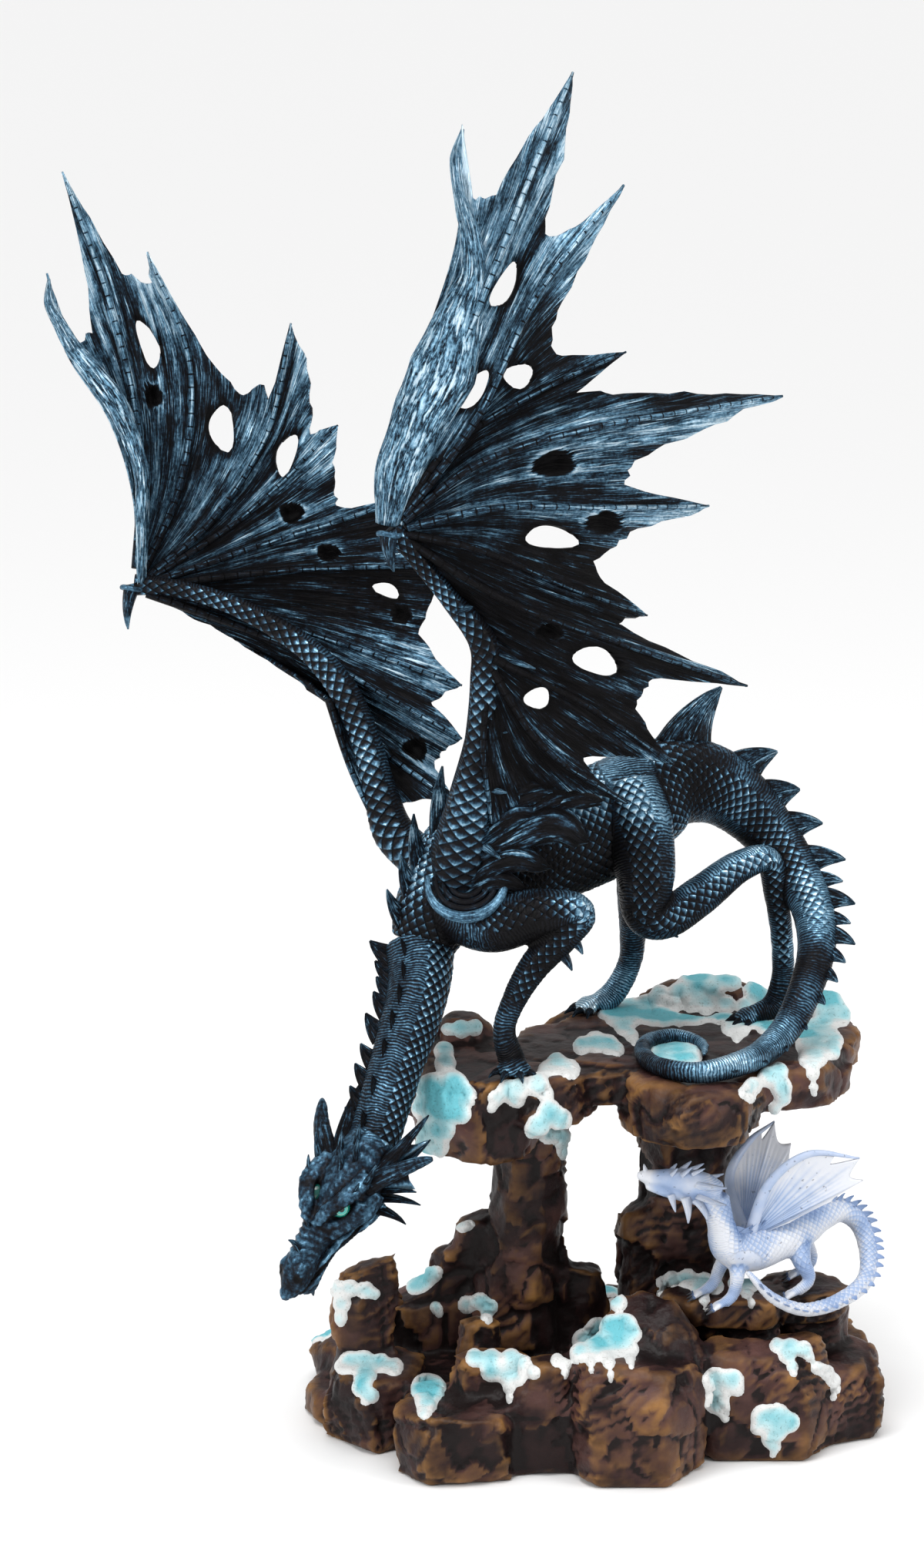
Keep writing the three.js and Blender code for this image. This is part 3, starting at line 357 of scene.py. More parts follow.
# Wings
# A wing is a fan of fingers, each a row of points from root to tip. Between two fingers the
# skin's free edge is a row of (place across, reach), both 0 to 1. A hole, and a dark pit
# that isn't cut through, is (panel, place across, reach, half width, half height, turn).
wingLook = {
    "columns": 25, "rows": 88,
    "rootReach": 0.05,        # share of a finger inside the arm
    "thick": 1.5,             # of the skin
    "sag": 0.1,               # how far the skin hangs back, as a share of its width
    "foldDepth": 0.04,        # of a pleat, as a share of the skin's width there
    "ribRadius": (2.9, 1.1),  # of a finger, from root to tip
    "notch": 6.5,             # between two of the little cuts across a finger
    "cell": 6.4,              # length of a scale on the arm
    "foldPitch": 9,
    "grain": 6.5,             # length of a cell of the skin's grain
    "pit": (3.4, 0.9),        # depth, and rise of its rim
    "paint": 0.24,
}
leftWing = {
    "fingers": [
        [(-92, -66, 447), (-92, -67, 493), (-76, -65, 536), (-62, -59, 581), (-60, -50, 629)],
        [(-92, -66, 447), (-73, -71, 501), (-51, -70, 552), (-31, -59, 602), (-10, -42, 652)],
        [(-92, -66, 447), (-53, -70, 499), (-26, -56, 553), (14, -28, 601)],
        [(-92, -66, 447), (-66, -68, 485), (-27, -52, 508), (16, -20, 524)],
        [(-92, -66, 447), (-54, -67, 477), (-9, -56, 491), (40, -31, 497), (91, 4, 501)],
        [(-92, -66, 447), (-45, -63, 457), (5, -39, 454), (57, 4, 449)],
        [(-92, -66, 447), (-53, -62, 438), (-14, -39, 418), (28, 0, 397)],
        [(-92, -66, 447), (-42, -60, 415), (15, -33, 389), (77, 10, 361)],
        [(-49, -56, 388), (-4, -44, 363), (41, -10, 327)],
        [(-48, -54, 383), (-22, -53, 344), (18, -34, 313)],
        [(-48, -52, 376), (-50, -52, 342), (-46, -42, 305)],
    ],
    "edges": [
        [(0.03, 0.95), (0.09, 0.86), (0.17, 0.8), (0.38, 0.79), (0.5, 0.79), (0.65, 0.85), (0.86, 0.91)],
        [(0.12, 0.96), (0.24, 0.9), (0.37, 0.83), (0.46, 0.78), (0.64, 0.75), (0.79, 0.79), (0.91, 0.85)],
        [(0.08, 0.92), (0.19, 0.85), (0.35, 0.76), (0.59, 0.73), (0.78, 0.75), (0.92, 0.88)],
        [(0.07, 0.89), (0.14, 0.81), (0.24, 0.73), (0.51, 0.77), (0.66, 0.83), (0.82, 0.91)],
        [(0.09, 0.91), (0.22, 0.85), (0.37, 0.75), (0.54, 0.69), (0.74, 0.69), (0.88, 0.81)],
        [(0.07, 0.96), (0.14, 0.88), (0.25, 0.82), (0.38, 0.78), (0.66, 0.73), (0.83, 0.79)],
        [(0.28, 0.82), (0.45, 0.77), (0.62, 0.73), (0.8, 0.86)],
        [(0.11, 0.9), (0.2, 0.82), (0.28, 0.77), (0.48, 0.75), (0.73, 0.75), (0.9, 0.85)],
        [(0.37, 0.82), (0.78, 0.67), (0.92, 0.79)],
        [(0.16, 0.88), (0.42, 0.82), (0.75, 0.9)],
    ],
    "holes": [
        (1, 0.36, 0.58, 4.5, 11, 0.5), (1, 0.62, 0.36, 4.5, 10.5, 0.72), (2, 0.68, 0.6, 7, 5.5, 0),
        (5, 0.49, 0.56, 13, 5.2, 0.25), (7, 0.35, 0.59, 11.5, 6, 0.45), (8, 0.4, 0.32, 6, 5, 0),
    ],
    "pits": [(4, 0.4, 0.47, 9, 6.5, 0), (5, 0.17, 0.69, 8, 5.5, 0.2), (7, 0.18, 0.45, 6, 4, 0)],
    "arm": [
        (-92, -66, 448, 5.5, 5.5), (-84, -64, 438, 4.2, 4.2), (-67, -57, 416, 4.6, 4.6),
        (-50, -51, 392, 7, 7), (-49, -48, 374, 7.5, 7.5), (-51, -43, 345, 8, 8),
        (-56, -37, 315, 11, 11), (-61, -31, 288, 14, 14), (-62, -25, 268, 11, 11),
    ],
    # the broad, grained bone from the wrist to the thumb
    "bone": [
        (-93.2, -66, 449.8, 5.9, 4), (-89.1, -67, 471.6, 10.8, 5.5), (-80.4, -68, 496, 12.6, 6.5),
        (-68.8, -68, 520.1, 15.5, 6.5), (-60.8, -67, 544, 10.9, 5.5), (-54.7, -64, 562.3, 6.9, 4.5),
        (-56.3, -60, 580.5, 4.5, 3.6), (-60.3, -56, 596.1, 2.9, 3.2), (-62.4, -52, 614.4, 2.9, 2.4),
        (-59.7, -49, 626.9, 0.8, 0.8),
    ],
    "claw": [(-93, -68, 446), (-91, -71, 429), 4.4],
    # paint added to each finger and the skin beside it: partly more dry brush, partly painted light from
    # the upper left, paler on the upper fingers
    "brushAndLight": [0.36, 0.3, 0.16, -0.02, 0.12, 0.22, -0.05, -0.1, -0.12, -0.1, -0.08],
    "spikes": [
        [(-62, -57, 409), (-55, -60, 411)], [(-48, -50, 388), (-26, -54, 381)],
        [(-46, -46, 350), (-36, -52, 351)], [(-50, -41, 322), (-39, -48, 321)],
        [(-54, -36, 296), (-42, -46, 289)],
    ],
}
rightWing = {
    "fingers": [
        [(-221, 62, 403), (-222, 75, 442), (-234, 85, 480), (-256, 90, 515), (-264, 92, 552)],
        [(-221, 62, 400), (-219, 82, 468), (-233, 95, 535), (-256, 98, 601)],
        [(-221, 62, 400), (-199, 84, 451), (-195, 96, 508), (-215, 98, 562)],
        [(-221, 62, 400), (-184, 82, 431), (-156, 91, 475), (-144, 86, 528)],
        [(-221, 62, 400), (-168, 84, 433), (-121, 76, 479)],
        [(-221, 62, 400), (-149, 75, 423), (-75, 60, 448)],
        [(-221, 62, 400), (-144, 70, 408), (-66, 52, 413)],
        [(-221, 62, 400), (-140, 64, 379), (-60, 44, 355)],
        [(-221, 62, 400), (-138, 57, 369), (-60, 36, 330)],
        [(-124, 44, 349), (-96, 40, 321), (-64, 26, 301)],
        [(-126, 44, 351), (-115, 33, 317), (-102, 20, 290)],
    ],
    "edges": [
        [(0.06, 0.92), (0.13, 0.81), (0.22, 0.72), (0.49, 0.69), (0.68, 0.75), (0.86, 0.87)],
        [(0.23, 0.87), (0.34, 0.8), (0.58, 0.84), (0.64, 0.82), (0.85, 0.88)],
        [(0.06, 0.85), (0.17, 0.77), (0.34, 0.71), (0.67, 0.69), (0.83, 0.79), (0.93, 0.73)],
        [(0.37, 0.98), (0.59, 0.93), (0.85, 0.88)],
        [(0.25, 0.86), (0.73, 0.73), (0.9, 0.76)],
        [(0.42, 0.94), (0.7, 0.9)],
        [(0.37, 0.92), (0.65, 0.88), (0.84, 0.92)],
        [(0.27, 0.95), (0.6, 0.9)],
        [(0.37, 0.93), (0.7, 0.88)],
        [(0.26, 0.93), (0.73, 0.9)],
    ],
    "holes": [
        (1, 0.43, 0.63, 4.2, 12, -0.35), (2, 0.49, 0.56, 6, 11, -0.1), (3, 0.72, 0.74, 4.8, 10.5, 0.35),
        (6, 0.26, 0.79, 7, 3.5, 0.3),
    ],
    "pits": [(1, 0.38, 0.49, 4.5, 5, 0), (4, 0.54, 0.61, 6, 5, 0), (5, 0.65, 0.63, 5.5, 4, 0),
             (8, 0.6, 0.8, 6, 5, 0), (6, 0.5, 0.83, 5, 4, 0)],
    "arm": [
        (-221, 62, 402, 5.5, 5.5), (-205, 62, 401, 4.4, 4.4), (-174, 58, 393, 4.8, 4.8),
        (-137, 51, 373, 6, 6), (-119, 45, 354, 7.2, 7.2), (-108, 38, 332, 7.2, 7.2),
        (-100, 29, 306, 8.2, 8.2), (-93, 22, 286, 10.5, 10.5), (-78, 16, 272, 11, 11),
    ],
    "bone": [
        (-217.8, 60, 402.9, 2.3, 3.5), (-217, 61, 417.6, 2.7, 4), (-216.8, 65, 438.2, 3.1, 4.2),
        (-217.5, 70, 456.5, 3.4, 4.5), (-222.3, 75, 472.8, 4.6, 4.5), (-229.9, 79, 489.2, 5.3, 4.2),
        (-240.6, 84, 503.4, 5.1, 4), (-250.5, 87, 514.6, 4, 3.4), (-257.8, 89, 527, 2.9, 3),
        (-263.2, 90.5, 538.4, 2.3, 2.6), (-263.1, 92, 549.2, 0.8, 0.8),
    ],
    "claw": [(-222, 60, 401), (-224, 55, 381), 3.8],
    # paint added to each finger and the skin beside it: partly more dry brush, partly painted light
    "brushAndLight": [0.28, 0.22, 0.16, 0.14, 0.02, 0.12, -0.05, 0.05, 0.02, 0.02, 0.05],
    "spikes": [],
}
wingFront = np.array([0.0, -1.0, 0.0])


def turnedTo(front, verts, quads):
    # the faces in the order that makes them look toward the front
    cross = np.cross(verts[quads[:, 2]] - verts[quads[:, 0]], verts[quads[:, 3]] - verts[quads[:, 1]])
    return quads[:, ::-1] if (cross @ front).sum() < 0 else quads


def fingerAt(finger, reach):
    # points of a finger's curve at shares of its row number
    curve = spline(finger, 30)
    share = np.linspace(0, 1, len(curve))
    return np.stack([np.interp(reach, share, curve[:, k]) for k in range(3)], axis=-1)


def skinAt(wing, panel, across, reach):
    # between two fingers: their mix, set back by the sag times sin(pi * across)
    near, far = fingerAt(wing["fingers"][panel], reach), fingerAt(wing["fingers"][panel + 1], reach)
    width = np.linalg.norm(far - near, axis=-1)
    at = near + (far - near) * across[..., None]
    return at - wingFront * (wingLook["sag"] * width * np.sin(math.pi * across))[..., None], width


def offHole(wing, hole, points):
    # from a hole's middle: 1 on its rim, which is an uneven oval turned to the right
    panel, across, reach, wide, high, lean = hole
    middle, _ = skinAt(wing, panel, np.array([across]), np.array([reach]))
    x, z = (points - middle[0])[:, [0, 2]].T
    x, z = ((x * math.cos(lean) - z * math.sin(lean)) / wide,
            (x * math.sin(lean) + z * math.cos(lean)) / high)
    return np.hypot(x, z) * (1 + 0.1 * np.sin(3 * np.arctan2(z, x) + panel + wide)), middle[0]


def wingPanel(wing, panel, seed):
    # a grid over the skin between two fingers, out to the torn free edge, with pleats that
    # run as the fingers do; faces inside a hole are left out and its rim is drawn to the hole
    look = wingLook
    rows, columns = look["rows"], look["columns"]
    edge = np.array([(0, 1), *wing["edges"][panel], (1, 1)], float)
    even = np.linspace(0, 1, columns)
    place = 0.5 * even + 0.5 * (0.5 - 0.5 * np.cos(math.pi * even))
    limit = np.interp(place, edge[:, 0], edge[:, 1])
    tear = noise(np.stack([place * 60, 0 * place, 0 * place + seed], 1), 5, seed)
    limit = limit + 0.012 * tear * np.clip(8 * place * (1 - place), 0, 1)
    share = np.linspace(0, 1, rows)[:, None] ** 0.85
    reach = look["rootReach"] + (limit[None] - look["rootReach"]) * share
    across = np.broadcast_to(place[None], reach.shape)
    at, width = skinAt(wing, panel, across, reach)
    face = unit(np.cross(np.gradient(at, axis=1), np.gradient(at, axis=0)))
    face = face * np.where((face @ wingFront) < 0, -1, 1)[..., None]
    widest = width.max()
    long = np.linalg.norm(at[-1, columns // 2] - at[0, columns // 2]) / limit[columns // 2]
    folds = max(2, round(widest / look["foldPitch"]))
    spot = np.stack([across * 3, reach * 4, 0 * reach + seed], -1).reshape(-1, 3)
    wander = noise(spot, 1, seed).reshape(reach.shape)
    breaks = noise(spot * (2.5, 0.9, 1), 1, seed + 3).reshape(reach.shape)
    crest = pleats(across * folds + 0.8 * wander, 1.3) * (0.65 + 0.5 * breaks)
    fine = pleats(across * folds * 2.6 + 1.3 * wander + 0.7 * breaks, 1.1)
    depth = look["foldDepth"] * np.minimum(width, 50)
    calm = np.sin(math.pi * across) ** 0.4
    rise = depth * calm * (1.7 * crest + 0.7 * fine - 1.0)
    swell = 0.5 + 0.5 * ramp(0.2, 0.75, reach)
    paint = (look["paint"] + 0.26 * crest * swell + 0.14 * fine + 0.3 * breaks * swell
             + 0.22 * ramp(0.72, 1.0, reach))
    # each finger's added paint, part dry brush and part painted light, mixed across the skin
    brushAndLight, brushAndLightNext = wing["brushAndLight"][panel:panel + 2]
    paint = paint + 0.9 * (brushAndLight * (1 - across) + brushAndLightNext * across)
    flat = at.reshape(-1, 3)
    for pit in wing["pits"]:
        if pit[0] != panel:
            continue
        inside, _ = offHole(wing, pit, flat)
        inside = inside.reshape(reach.shape)
        rise = (rise - look["pit"][0] * ramp(1.0, 0.45, inside)
                + look["pit"][1] * ramp(1.35, 1.1, inside) * ramp(0.85, 1.05, inside))
        paint = (paint - 1.2 * ramp(1.05, 0.8, inside)
                 + 0.25 * ramp(1.4, 1.15, inside) * ramp(0.95, 1.1, inside))
    at = at + face * rise[..., None]
    front = (at + face * look["thick"] / 2).reshape(-1, 3)
    back = (at - face * look["thick"] / 2).reshape(-1, 3)
    quads = turnedTo(wingFront, front, sheetGrid(rows, columns))
    paint = paint.ravel()
    for hole in wing["holes"]:
        inside, middle = offHole(wing, hole, front)
        gone = inside[quads].mean(axis=1) < 1
        if not gone.any():
            continue
        rim = np.intersect1d(quads[gone], quads[~gone])
        for sheet in (front, back):
            off = (sheet[rim] - middle)[:, [0, 2]]
            sheet[rim[:, None], [0, 2]] = middle[[0, 2]] + off / inside[rim, None]
        paint = paint - 0.3 * ramp(1.5, 1.1, inside)
        quads = quads[~gone]
    return twoSided(front, back, quads, paint=paint, grained=0.9 + 0 * paint,
                    along=(reach * long / look["grain"]).ravel(),
                    around=(across * widest / look["grain"] + 7.3 * panel).ravel())


def fingerTube(finger, brushAndLight):
    # a finger's ridge: a tube that thins to its tip, with a narrow cut at every notch
    rootRadius, tipRadius = wingLook["ribRadius"]
    curve = spline(finger, 14)
    share = np.linspace(0, 1, len(curve))
    keep = share >= wingLook["rootReach"] * 0.5
    radius = rootRadius + (tipRadius - rootRadius) * share ** 0.7
    radius = radius * np.where(share > 0.97, 0.55, 1)
    path = layPath(np.column_stack([curve, radius * 0.85, radius])[keep], 2, (0, -1, 0.1))
    total = path["length"][-1]

    # the finger's added paint is part dry brush and part painted light
    def paint(length, angle):
        far = length / total
        patchy = 0.16 * np.sin(length * 0.11 + total) + 0.1 * np.sin(length * 0.043)
        return 0.16 + brushAndLight + 0.3 * ramp(0.2, 0.75, far) * (1 + patchy) + 0.16 * np.sin(angle)
    return tube(path, 10, cell=wingLook["notch"], paint=paint, notched=1.0, grained=0.8)


def scaledArm(wing):
    # the arm: a tube with a band of lapped scales down the side that faces, ribbed beside it
    path = layPath(wing["arm"], 22, (0, -1, 0.1))
    cell = wingLook["cell"]
    radius = (path["wide"].mean() + path["high"].mean()) / 2

    def banded(length, angle):
        return ramp(1.05, 0.8, np.abs((angle - turn / 4 + 0.25 + math.pi) % turn - math.pi)) + 0 * length

    def lapped(length, angle):
        lift = scales(length / cell, ((angle + turn / 4) % turn) * radius / cell)
        return 1.3 * lift * banded(length, angle) * (0.6 + 0.4 * ramp(60, 110, length)) - 0.2

    def beside(length, angle):
        return 0.9 - 0.9 * banded(length, angle)

    def paint(length, angle):
        return (0.27 + 0.04 * banded(length, angle) + 0.06 * ramp(60, 140, length)
                - 0.08 * np.sin(length / 9))
    return tube(path, 52, lapped, cell=cell, paint=paint, scaly=banded, ribbed=beside)


def thumbBone(wing, seed):
    # the broad bone: a flat tube with a grain that runs along it and splits and joins
    path = layPath(wing["bone"], 16, (0, -1, 0.1))
    total = path["length"][-1]

    def grain(length, angle):
        length, angle = np.broadcast_arrays(length, angle)
        spot = np.stack([np.cos(angle) * 7, np.sin(angle) * 7, length / 16], -1).reshape(-1, 3)
        return 0.75 * noise(spot, 0.85, seed).reshape(length.shape)

    def paint(length, angle):
        return 0.74 + 0.12 * grain(length, angle) + 0.12 * ramp(0.6, 0.95, length / total) + 0 * angle

    def swell(length, angle):
        return 0.9 * grain(length, angle) * ramp(total, total - 20, length)
    return tube(path, 48, swell, cell=5.0, paint=paint, grained=1.1)


def wingSurface(wing, seed):
    # every panel, the fingers after the first, which the broad bone covers, the arm and its
    # spikes, and the claw with a ring of 5 mm round its root
    parts = [wingPanel(wing, i, seed + i) for i in range(len(wing["edges"]))]
    parts += [fingerTube(finger, brushAndLight) for finger, brushAndLight in zip(wing["fingers"], wing["brushAndLight"])][1:]
    parts += [scaledArm(wing), thumbBone(wing, seed)]
    root, tip, radius = wing["claw"]
    parts.append(thorn(root, tip, radius, bend=(-4, -6, 0), flat=0.9, rings=7))
    collar = [(*np.array(root) + (5 * math.cos(a), 5 * math.sin(a) * 0.8, 0.6 * math.sin(a * 2)),
               1.3, 1.3) for a in np.linspace(0, turn, 13)]
    parts.append(tube(layPath(collar, 3), 8, paint=0.5))
    parts += [thorn(a, b, 4, paint=0.7) for a, b in wing["spikes"]]
    return joined(parts)


# Paints
def newNode(tree, kind, **values):
    # a node with its properties or, by socket name, its values set
    node = tree.nodes.new(kind)
    for name, value in values.items():
        if hasattr(node, name):
            setattr(node, name, value)
        else:
            node.inputs[name.replace("_", " ")].default_value = value
    return node


def feed(tree, socket, value):
    # a link from another node's socket, or a plain value
    if isinstance(value, bpy.types.NodeSocket):
        tree.links.new(value, socket)
    else:
        socket.default_value = value


def mathNode(tree, operation, first, second, clamp=False):
    # one step of arithmetic on sockets or plain numbers, kept from 0 to 1 where clamped
    node = newNode(tree, "ShaderNodeMath", operation=operation, use_clamp=clamp)
    feed(tree, node.inputs[0], first)
    feed(tree, node.inputs[1], second)
    return node.outputs[0]


def scaled(tree, value, size, middle=0.0, clamp=False):
    # (value - middle) * size
    if middle:
        value = mathNode(tree, "SUBTRACT", value, middle)
    return mathNode(tree, "MULTIPLY", value, size, clamp)


def blended(tree, share, first, second, way="MIX"):
    # from the first colour to the second, by a share
    node = newNode(tree, "ShaderNodeMix", data_type="RGBA", blend_type=way)
    for name, value in (("Factor", share), ("A", first), ("B", second)):
        feed(tree, node.inputs[name], value)
    return node.outputs["Result"]


def speckle(tree, scale, detail=3.0):
    # noise on the statue's own coordinates, from 0 to 1
    place = newNode(tree, "ShaderNodeTexCoord").outputs["Object"]
    texture = newNode(tree, "ShaderNodeTexNoise", Scale=scale, Detail=detail)
    tree.links.new(place, texture.inputs["Vector"])
    return texture.outputs["Fac"]


def colourRamp(tree, value, stops):
    # stops are (place, red, green, blue)
    node = newNode(tree, "ShaderNodeValToRGB")
    band = node.color_ramp
    while len(band.elements) < len(stops):
        band.elements.new(0.5)
    for element, (at, *colour) in zip(band.elements, stops):
        element.position = at
        element.color = (*colour, 1)
    tree.links.new(value, node.inputs["Fac"])
    return node.outputs["Color"]


def markOf(tree, name):
    # a value marked on the corners
    return newNode(tree, "ShaderNodeAttribute", attribute_name=name).outputs["Fac"]


def newMaterial(name):
    # a material, its nodes and its shader
    material = bpy.data.materials.new(name)
    material.use_nodes = True
    return material, material.node_tree, material.node_tree.nodes["Principled BSDF"]


def bumped(tree, shader, height, strength, distance):
    # so much of the height, in metres where it is 1, tilts the shader's normal
    dent = newNode(tree, "ShaderNodeBump", Strength=strength, Distance=distance)
    tree.links.new(height, dent.inputs["Height"])
    tree.links.new(dent.outputs[0], shader.inputs["Normal"])


def folded(tree, value):
    # from a value to how far it is from the nearest whole number, 0 to 0.5
    return mathNode(tree, "PINGPONG", value, 0.5)


reliefLook = {
    "ribs": 3.6,          # to a cell
    "grain": (2.7, 0.2),  # noise cells to a cell, around and along
    # each relief's mark, then its middle, its size in the paint and its size in the height
    "sizes": {"scaly": (0.32, 0.62, 0.9), "ribbed": (0.6, 0.42, 0.34), "grained": (0.82, 1.05, 1.0),
              "notched": (1.0, 0.45, 0.7)},
}


def reliefGroup():
    # reliefs on a piece's own along and around, both counted in cells. With p = along + around
    # and q = along - around, a scale is a dome over each unit square of (p, q), higher at its
    # free end; a rib is a wave across; the grain is a noise drawn out along; a cut is a narrow
    # groove at each whole cell. Each is switched on by its own mark.
    group = bpy.data.node_groups.new("relief", "ShaderNodeTree")
    for name in ("Paint", "Height"):
        group.interface.new_socket(name, in_out="OUTPUT", socket_type="NodeSocketFloat")
    along, around = markOf(group, "along"), markOf(group, "around")
    ways = [mathNode(group, way, along, around) for way in ("ADD", "SUBTRACT")]
    offs = [mathNode(group, "SUBTRACT", way, mathNode(group, "ROUND", way, 0.0)) for way in ways]
    edge = mathNode(group, "MAXIMUM", *[folded(group, way) for way in ways])
    edge = mathNode(group, "SUBTRACT", 0.5, edge)
    dome = mathNode(group, "POWER", scaled(group, edge, 7.0, clamp=True), 0.7)
    lap = mathNode(group, "ADD", scaled(group, mathNode(group, "ADD", *offs), 0.9), 0.42, clamp=True)
    bent = mathNode(group, "ADD", along, scaled(group, speckle(group, 60, 3), 1.5))
    rib = scaled(group, folded(group, scaled(group, bent, reliefLook["ribs"])), 2.0)
    drawn = newNode(group, "ShaderNodeCombineXYZ")
    for axis, value, cells in zip("XY", (around, along), reliefLook["grain"]):
        group.links.new(scaled(group, value, cells), drawn.inputs[axis])
    wood = newNode(group, "ShaderNodeTexNoise", Scale=1.6, Detail=5.0, Roughness=0.62)
    group.links.new(drawn.outputs[0], wood.inputs["Vector"])
    wood = wood.outputs["Fac"]
    groove = mathNode(group, "ABSOLUTE", mathNode(group, "SUBTRACT", wood, 0.5), 0.0)
    groove = mathNode(group, "POWER", scaled(group, groove, 5.5, clamp=True), 0.6)
    reliefs = {
        "scaly": mathNode(group, "MULTIPLY", dome, lap),
        "ribbed": mathNode(group, "POWER", rib, 0.7),
        "grained": mathNode(group, "ADD", scaled(group, groove, 0.6), scaled(group, wood, 0.9)),
        "notched": scaled(group, folded(group, along), 13.0, clamp=True),
    }
    out = newNode(group, "NodeGroupOutput")
    for k, output in enumerate(("Paint", "Height")):
        total = 0.0
        for mark, value in reliefs.items():
            middle, *sizes = reliefLook["sizes"][mark]
            added = scaled(group, value, sizes[k], middle)
            added = mathNode(group, "MULTIPLY", added, markOf(group, mark))
            total = mathNode(group, "ADD", total, added)
        group.links.new(total, out.inputs[output])
    return group


relief = reliefGroup()
dragonColours = {
    # along the dry brush: place, red, green, blue
    "brush": [(0.0, 0.003, 0.0028, 0.0032), (0.28, 0.006, 0.006, 0.008), (0.42, 0.013, 0.026, 0.043),
              (0.55, 0.05, 0.115, 0.18), (0.72, 0.18, 0.35, 0.49), (0.98, 0.6, 0.76, 0.86)],
    "broken": [(95, 0.42), (640, 0.5)],  # scale and size of the speckles that break it up
    "metal": (0.0, 0.75),
    "roughness": (0.42, 0.3),
}


def brushed(tree):
    # dry-brushed paint up to 1: the mark, which also holds painted light and shade, and the relief,
    # broken up by two speckles
    shape = newNode(tree, "ShaderNodeGroup", node_tree=relief)
    value = mathNode(tree, "ADD", markOf(tree, "paint"), shape.outputs["Paint"])
    for scale, size in dragonColours["broken"]:
        value = mathNode(tree, "ADD", value, scaled(tree, speckle(tree, scale, 4), size, 0.5))
    return mathNode(tree, "MINIMUM", value, 1.0), shape.outputs["Height"]


def dragonMaterial():
    # near-black paint with a purple cast, brushed on its raised parts with metallic blue that
    # pales to silver; colour, metal and gloss follow the brushed mark
    material, tree, shader = newMaterial("dragonPaint")
    value, height = brushed(tree)
    tree.links.new(colourRamp(tree, value, dragonColours["brush"]), shader.inputs["Base Color"])
    for socket, (low, high) in (("Metallic", dragonColours["metal"]),
                                ("Roughness", dragonColours["roughness"])):
        span = newNode(tree, "ShaderNodeMapRange", From_Min=0.2, From_Max=0.75, To_Min=low, To_Max=high)
        tree.links.new(value, span.inputs["Value"])
        tree.links.new(span.outputs[0], shader.inputs[socket])
    shader.inputs["Specular IOR Level"].default_value = 0.08
    height = mathNode(tree, "ADD", height, scaled(tree, speckle(tree, 900, 3), 0.12))
    bumped(tree, shader, height, 0.9, 0.001)
    return material


dragonPaint = dragonMaterial()


# Trunk, legs and tail
# A row is the middle of the body's line and its half widths, (x, y, z, across, along up).
trunk = [
    (-80, -21, 240, 15, 15), (-72, -16, 256, 20, 22), (-58, -7, 270, 26, 32), (-38, 2, 280, 26, 30),
    (-15, 12, 284, 24, 29), (8, 24, 291, 24, 29), (27, 35, 299, 23, 27), (45, 44, 307, 19, 23),
]
tail = [
    (66, 50, 303, 15, 19.5), (82, 52, 291, 12.5, 16), (96, 50, 275, 10.5, 13),
    (106, 42, 260, 9.5, 11.5), (113, 28, 244, 9, 10.5), (113, 12, 229, 8.5, 9.5),
    (107, -2, 214, 8, 8.5), (98, -14, 199, 7.4, 7.6), (86, -28, 190.5, 6.6, 6.8),
    (71, -49, 189.5, 6, 6), (51, -60, 188.5, 5.2, 5.2), (33, -46, 187.8, 4.6, 4.6),
    (27, -20, 187.4, 4.2, 4.2), (33, 3, 187, 3.8, 3.8), (46, 11, 186.6, 3.4, 3.4),
    (57, -2, 186, 2.8, 2.8), (57, -20, 185.4, 1.2, 1.2),
]
neck = [
    (-80, -21, 240, 16.5, 16.5), (-80, -30, 228, 16, 15.3), (-82, -38, 217, 15, 14.3),
    (-86, -46, 205, 14, 13.8), (-91, -55, 191, 13.5, 12.8), (-97, -66, 173, 12.5, 12.3),
    (-102, -73, 158, 12, 12), (-108, -78, 147, 12, 12),
]
# A blade is its place as a share of the rows, height, length of base, and lean.
shoulderBlades = [(0.064, 12.5, 11, 0.8), (0.143, 13, 12, 0.8), (0.2, 18.5, 13, 0.8), (0.29, 24, 15, 0.7)]
tailBlades = [
    (0.298, 24.5, 31, 0.75), (0.345, 12, 21, 0.8), (0.381, 9.5, 20, 0.8), (0.413, 10.5, 16, 0.8),
    (0.451, 12.5, 15, 0.75), (0.472, 7.5, 10, 0.8), (0.492, 10, 13, 0.8), (0.51, 7, 9, 0.8),
    (0.528, 9.5, 11, 0.8), (0.546, 6.5, 9, 0.8), (0.565, 6, 8, 0.8), (0.59, 4.5, 7, 0.8),
]
neckBlades = [
    (0.05, 8, 14, -1.1), (0.16, 7, 13, -1), (0.26, 6.5, 12, -1), (0.36, 7, 13, -1), (0.475, 8, 13, -1),
    (0.58, 6.5, 11, -1), (0.645, 6.5, 11, -1), (0.715, 6, 10, -1), (0.79, 5.5, 9, -1), (0.87, 5, 8, -1),
]
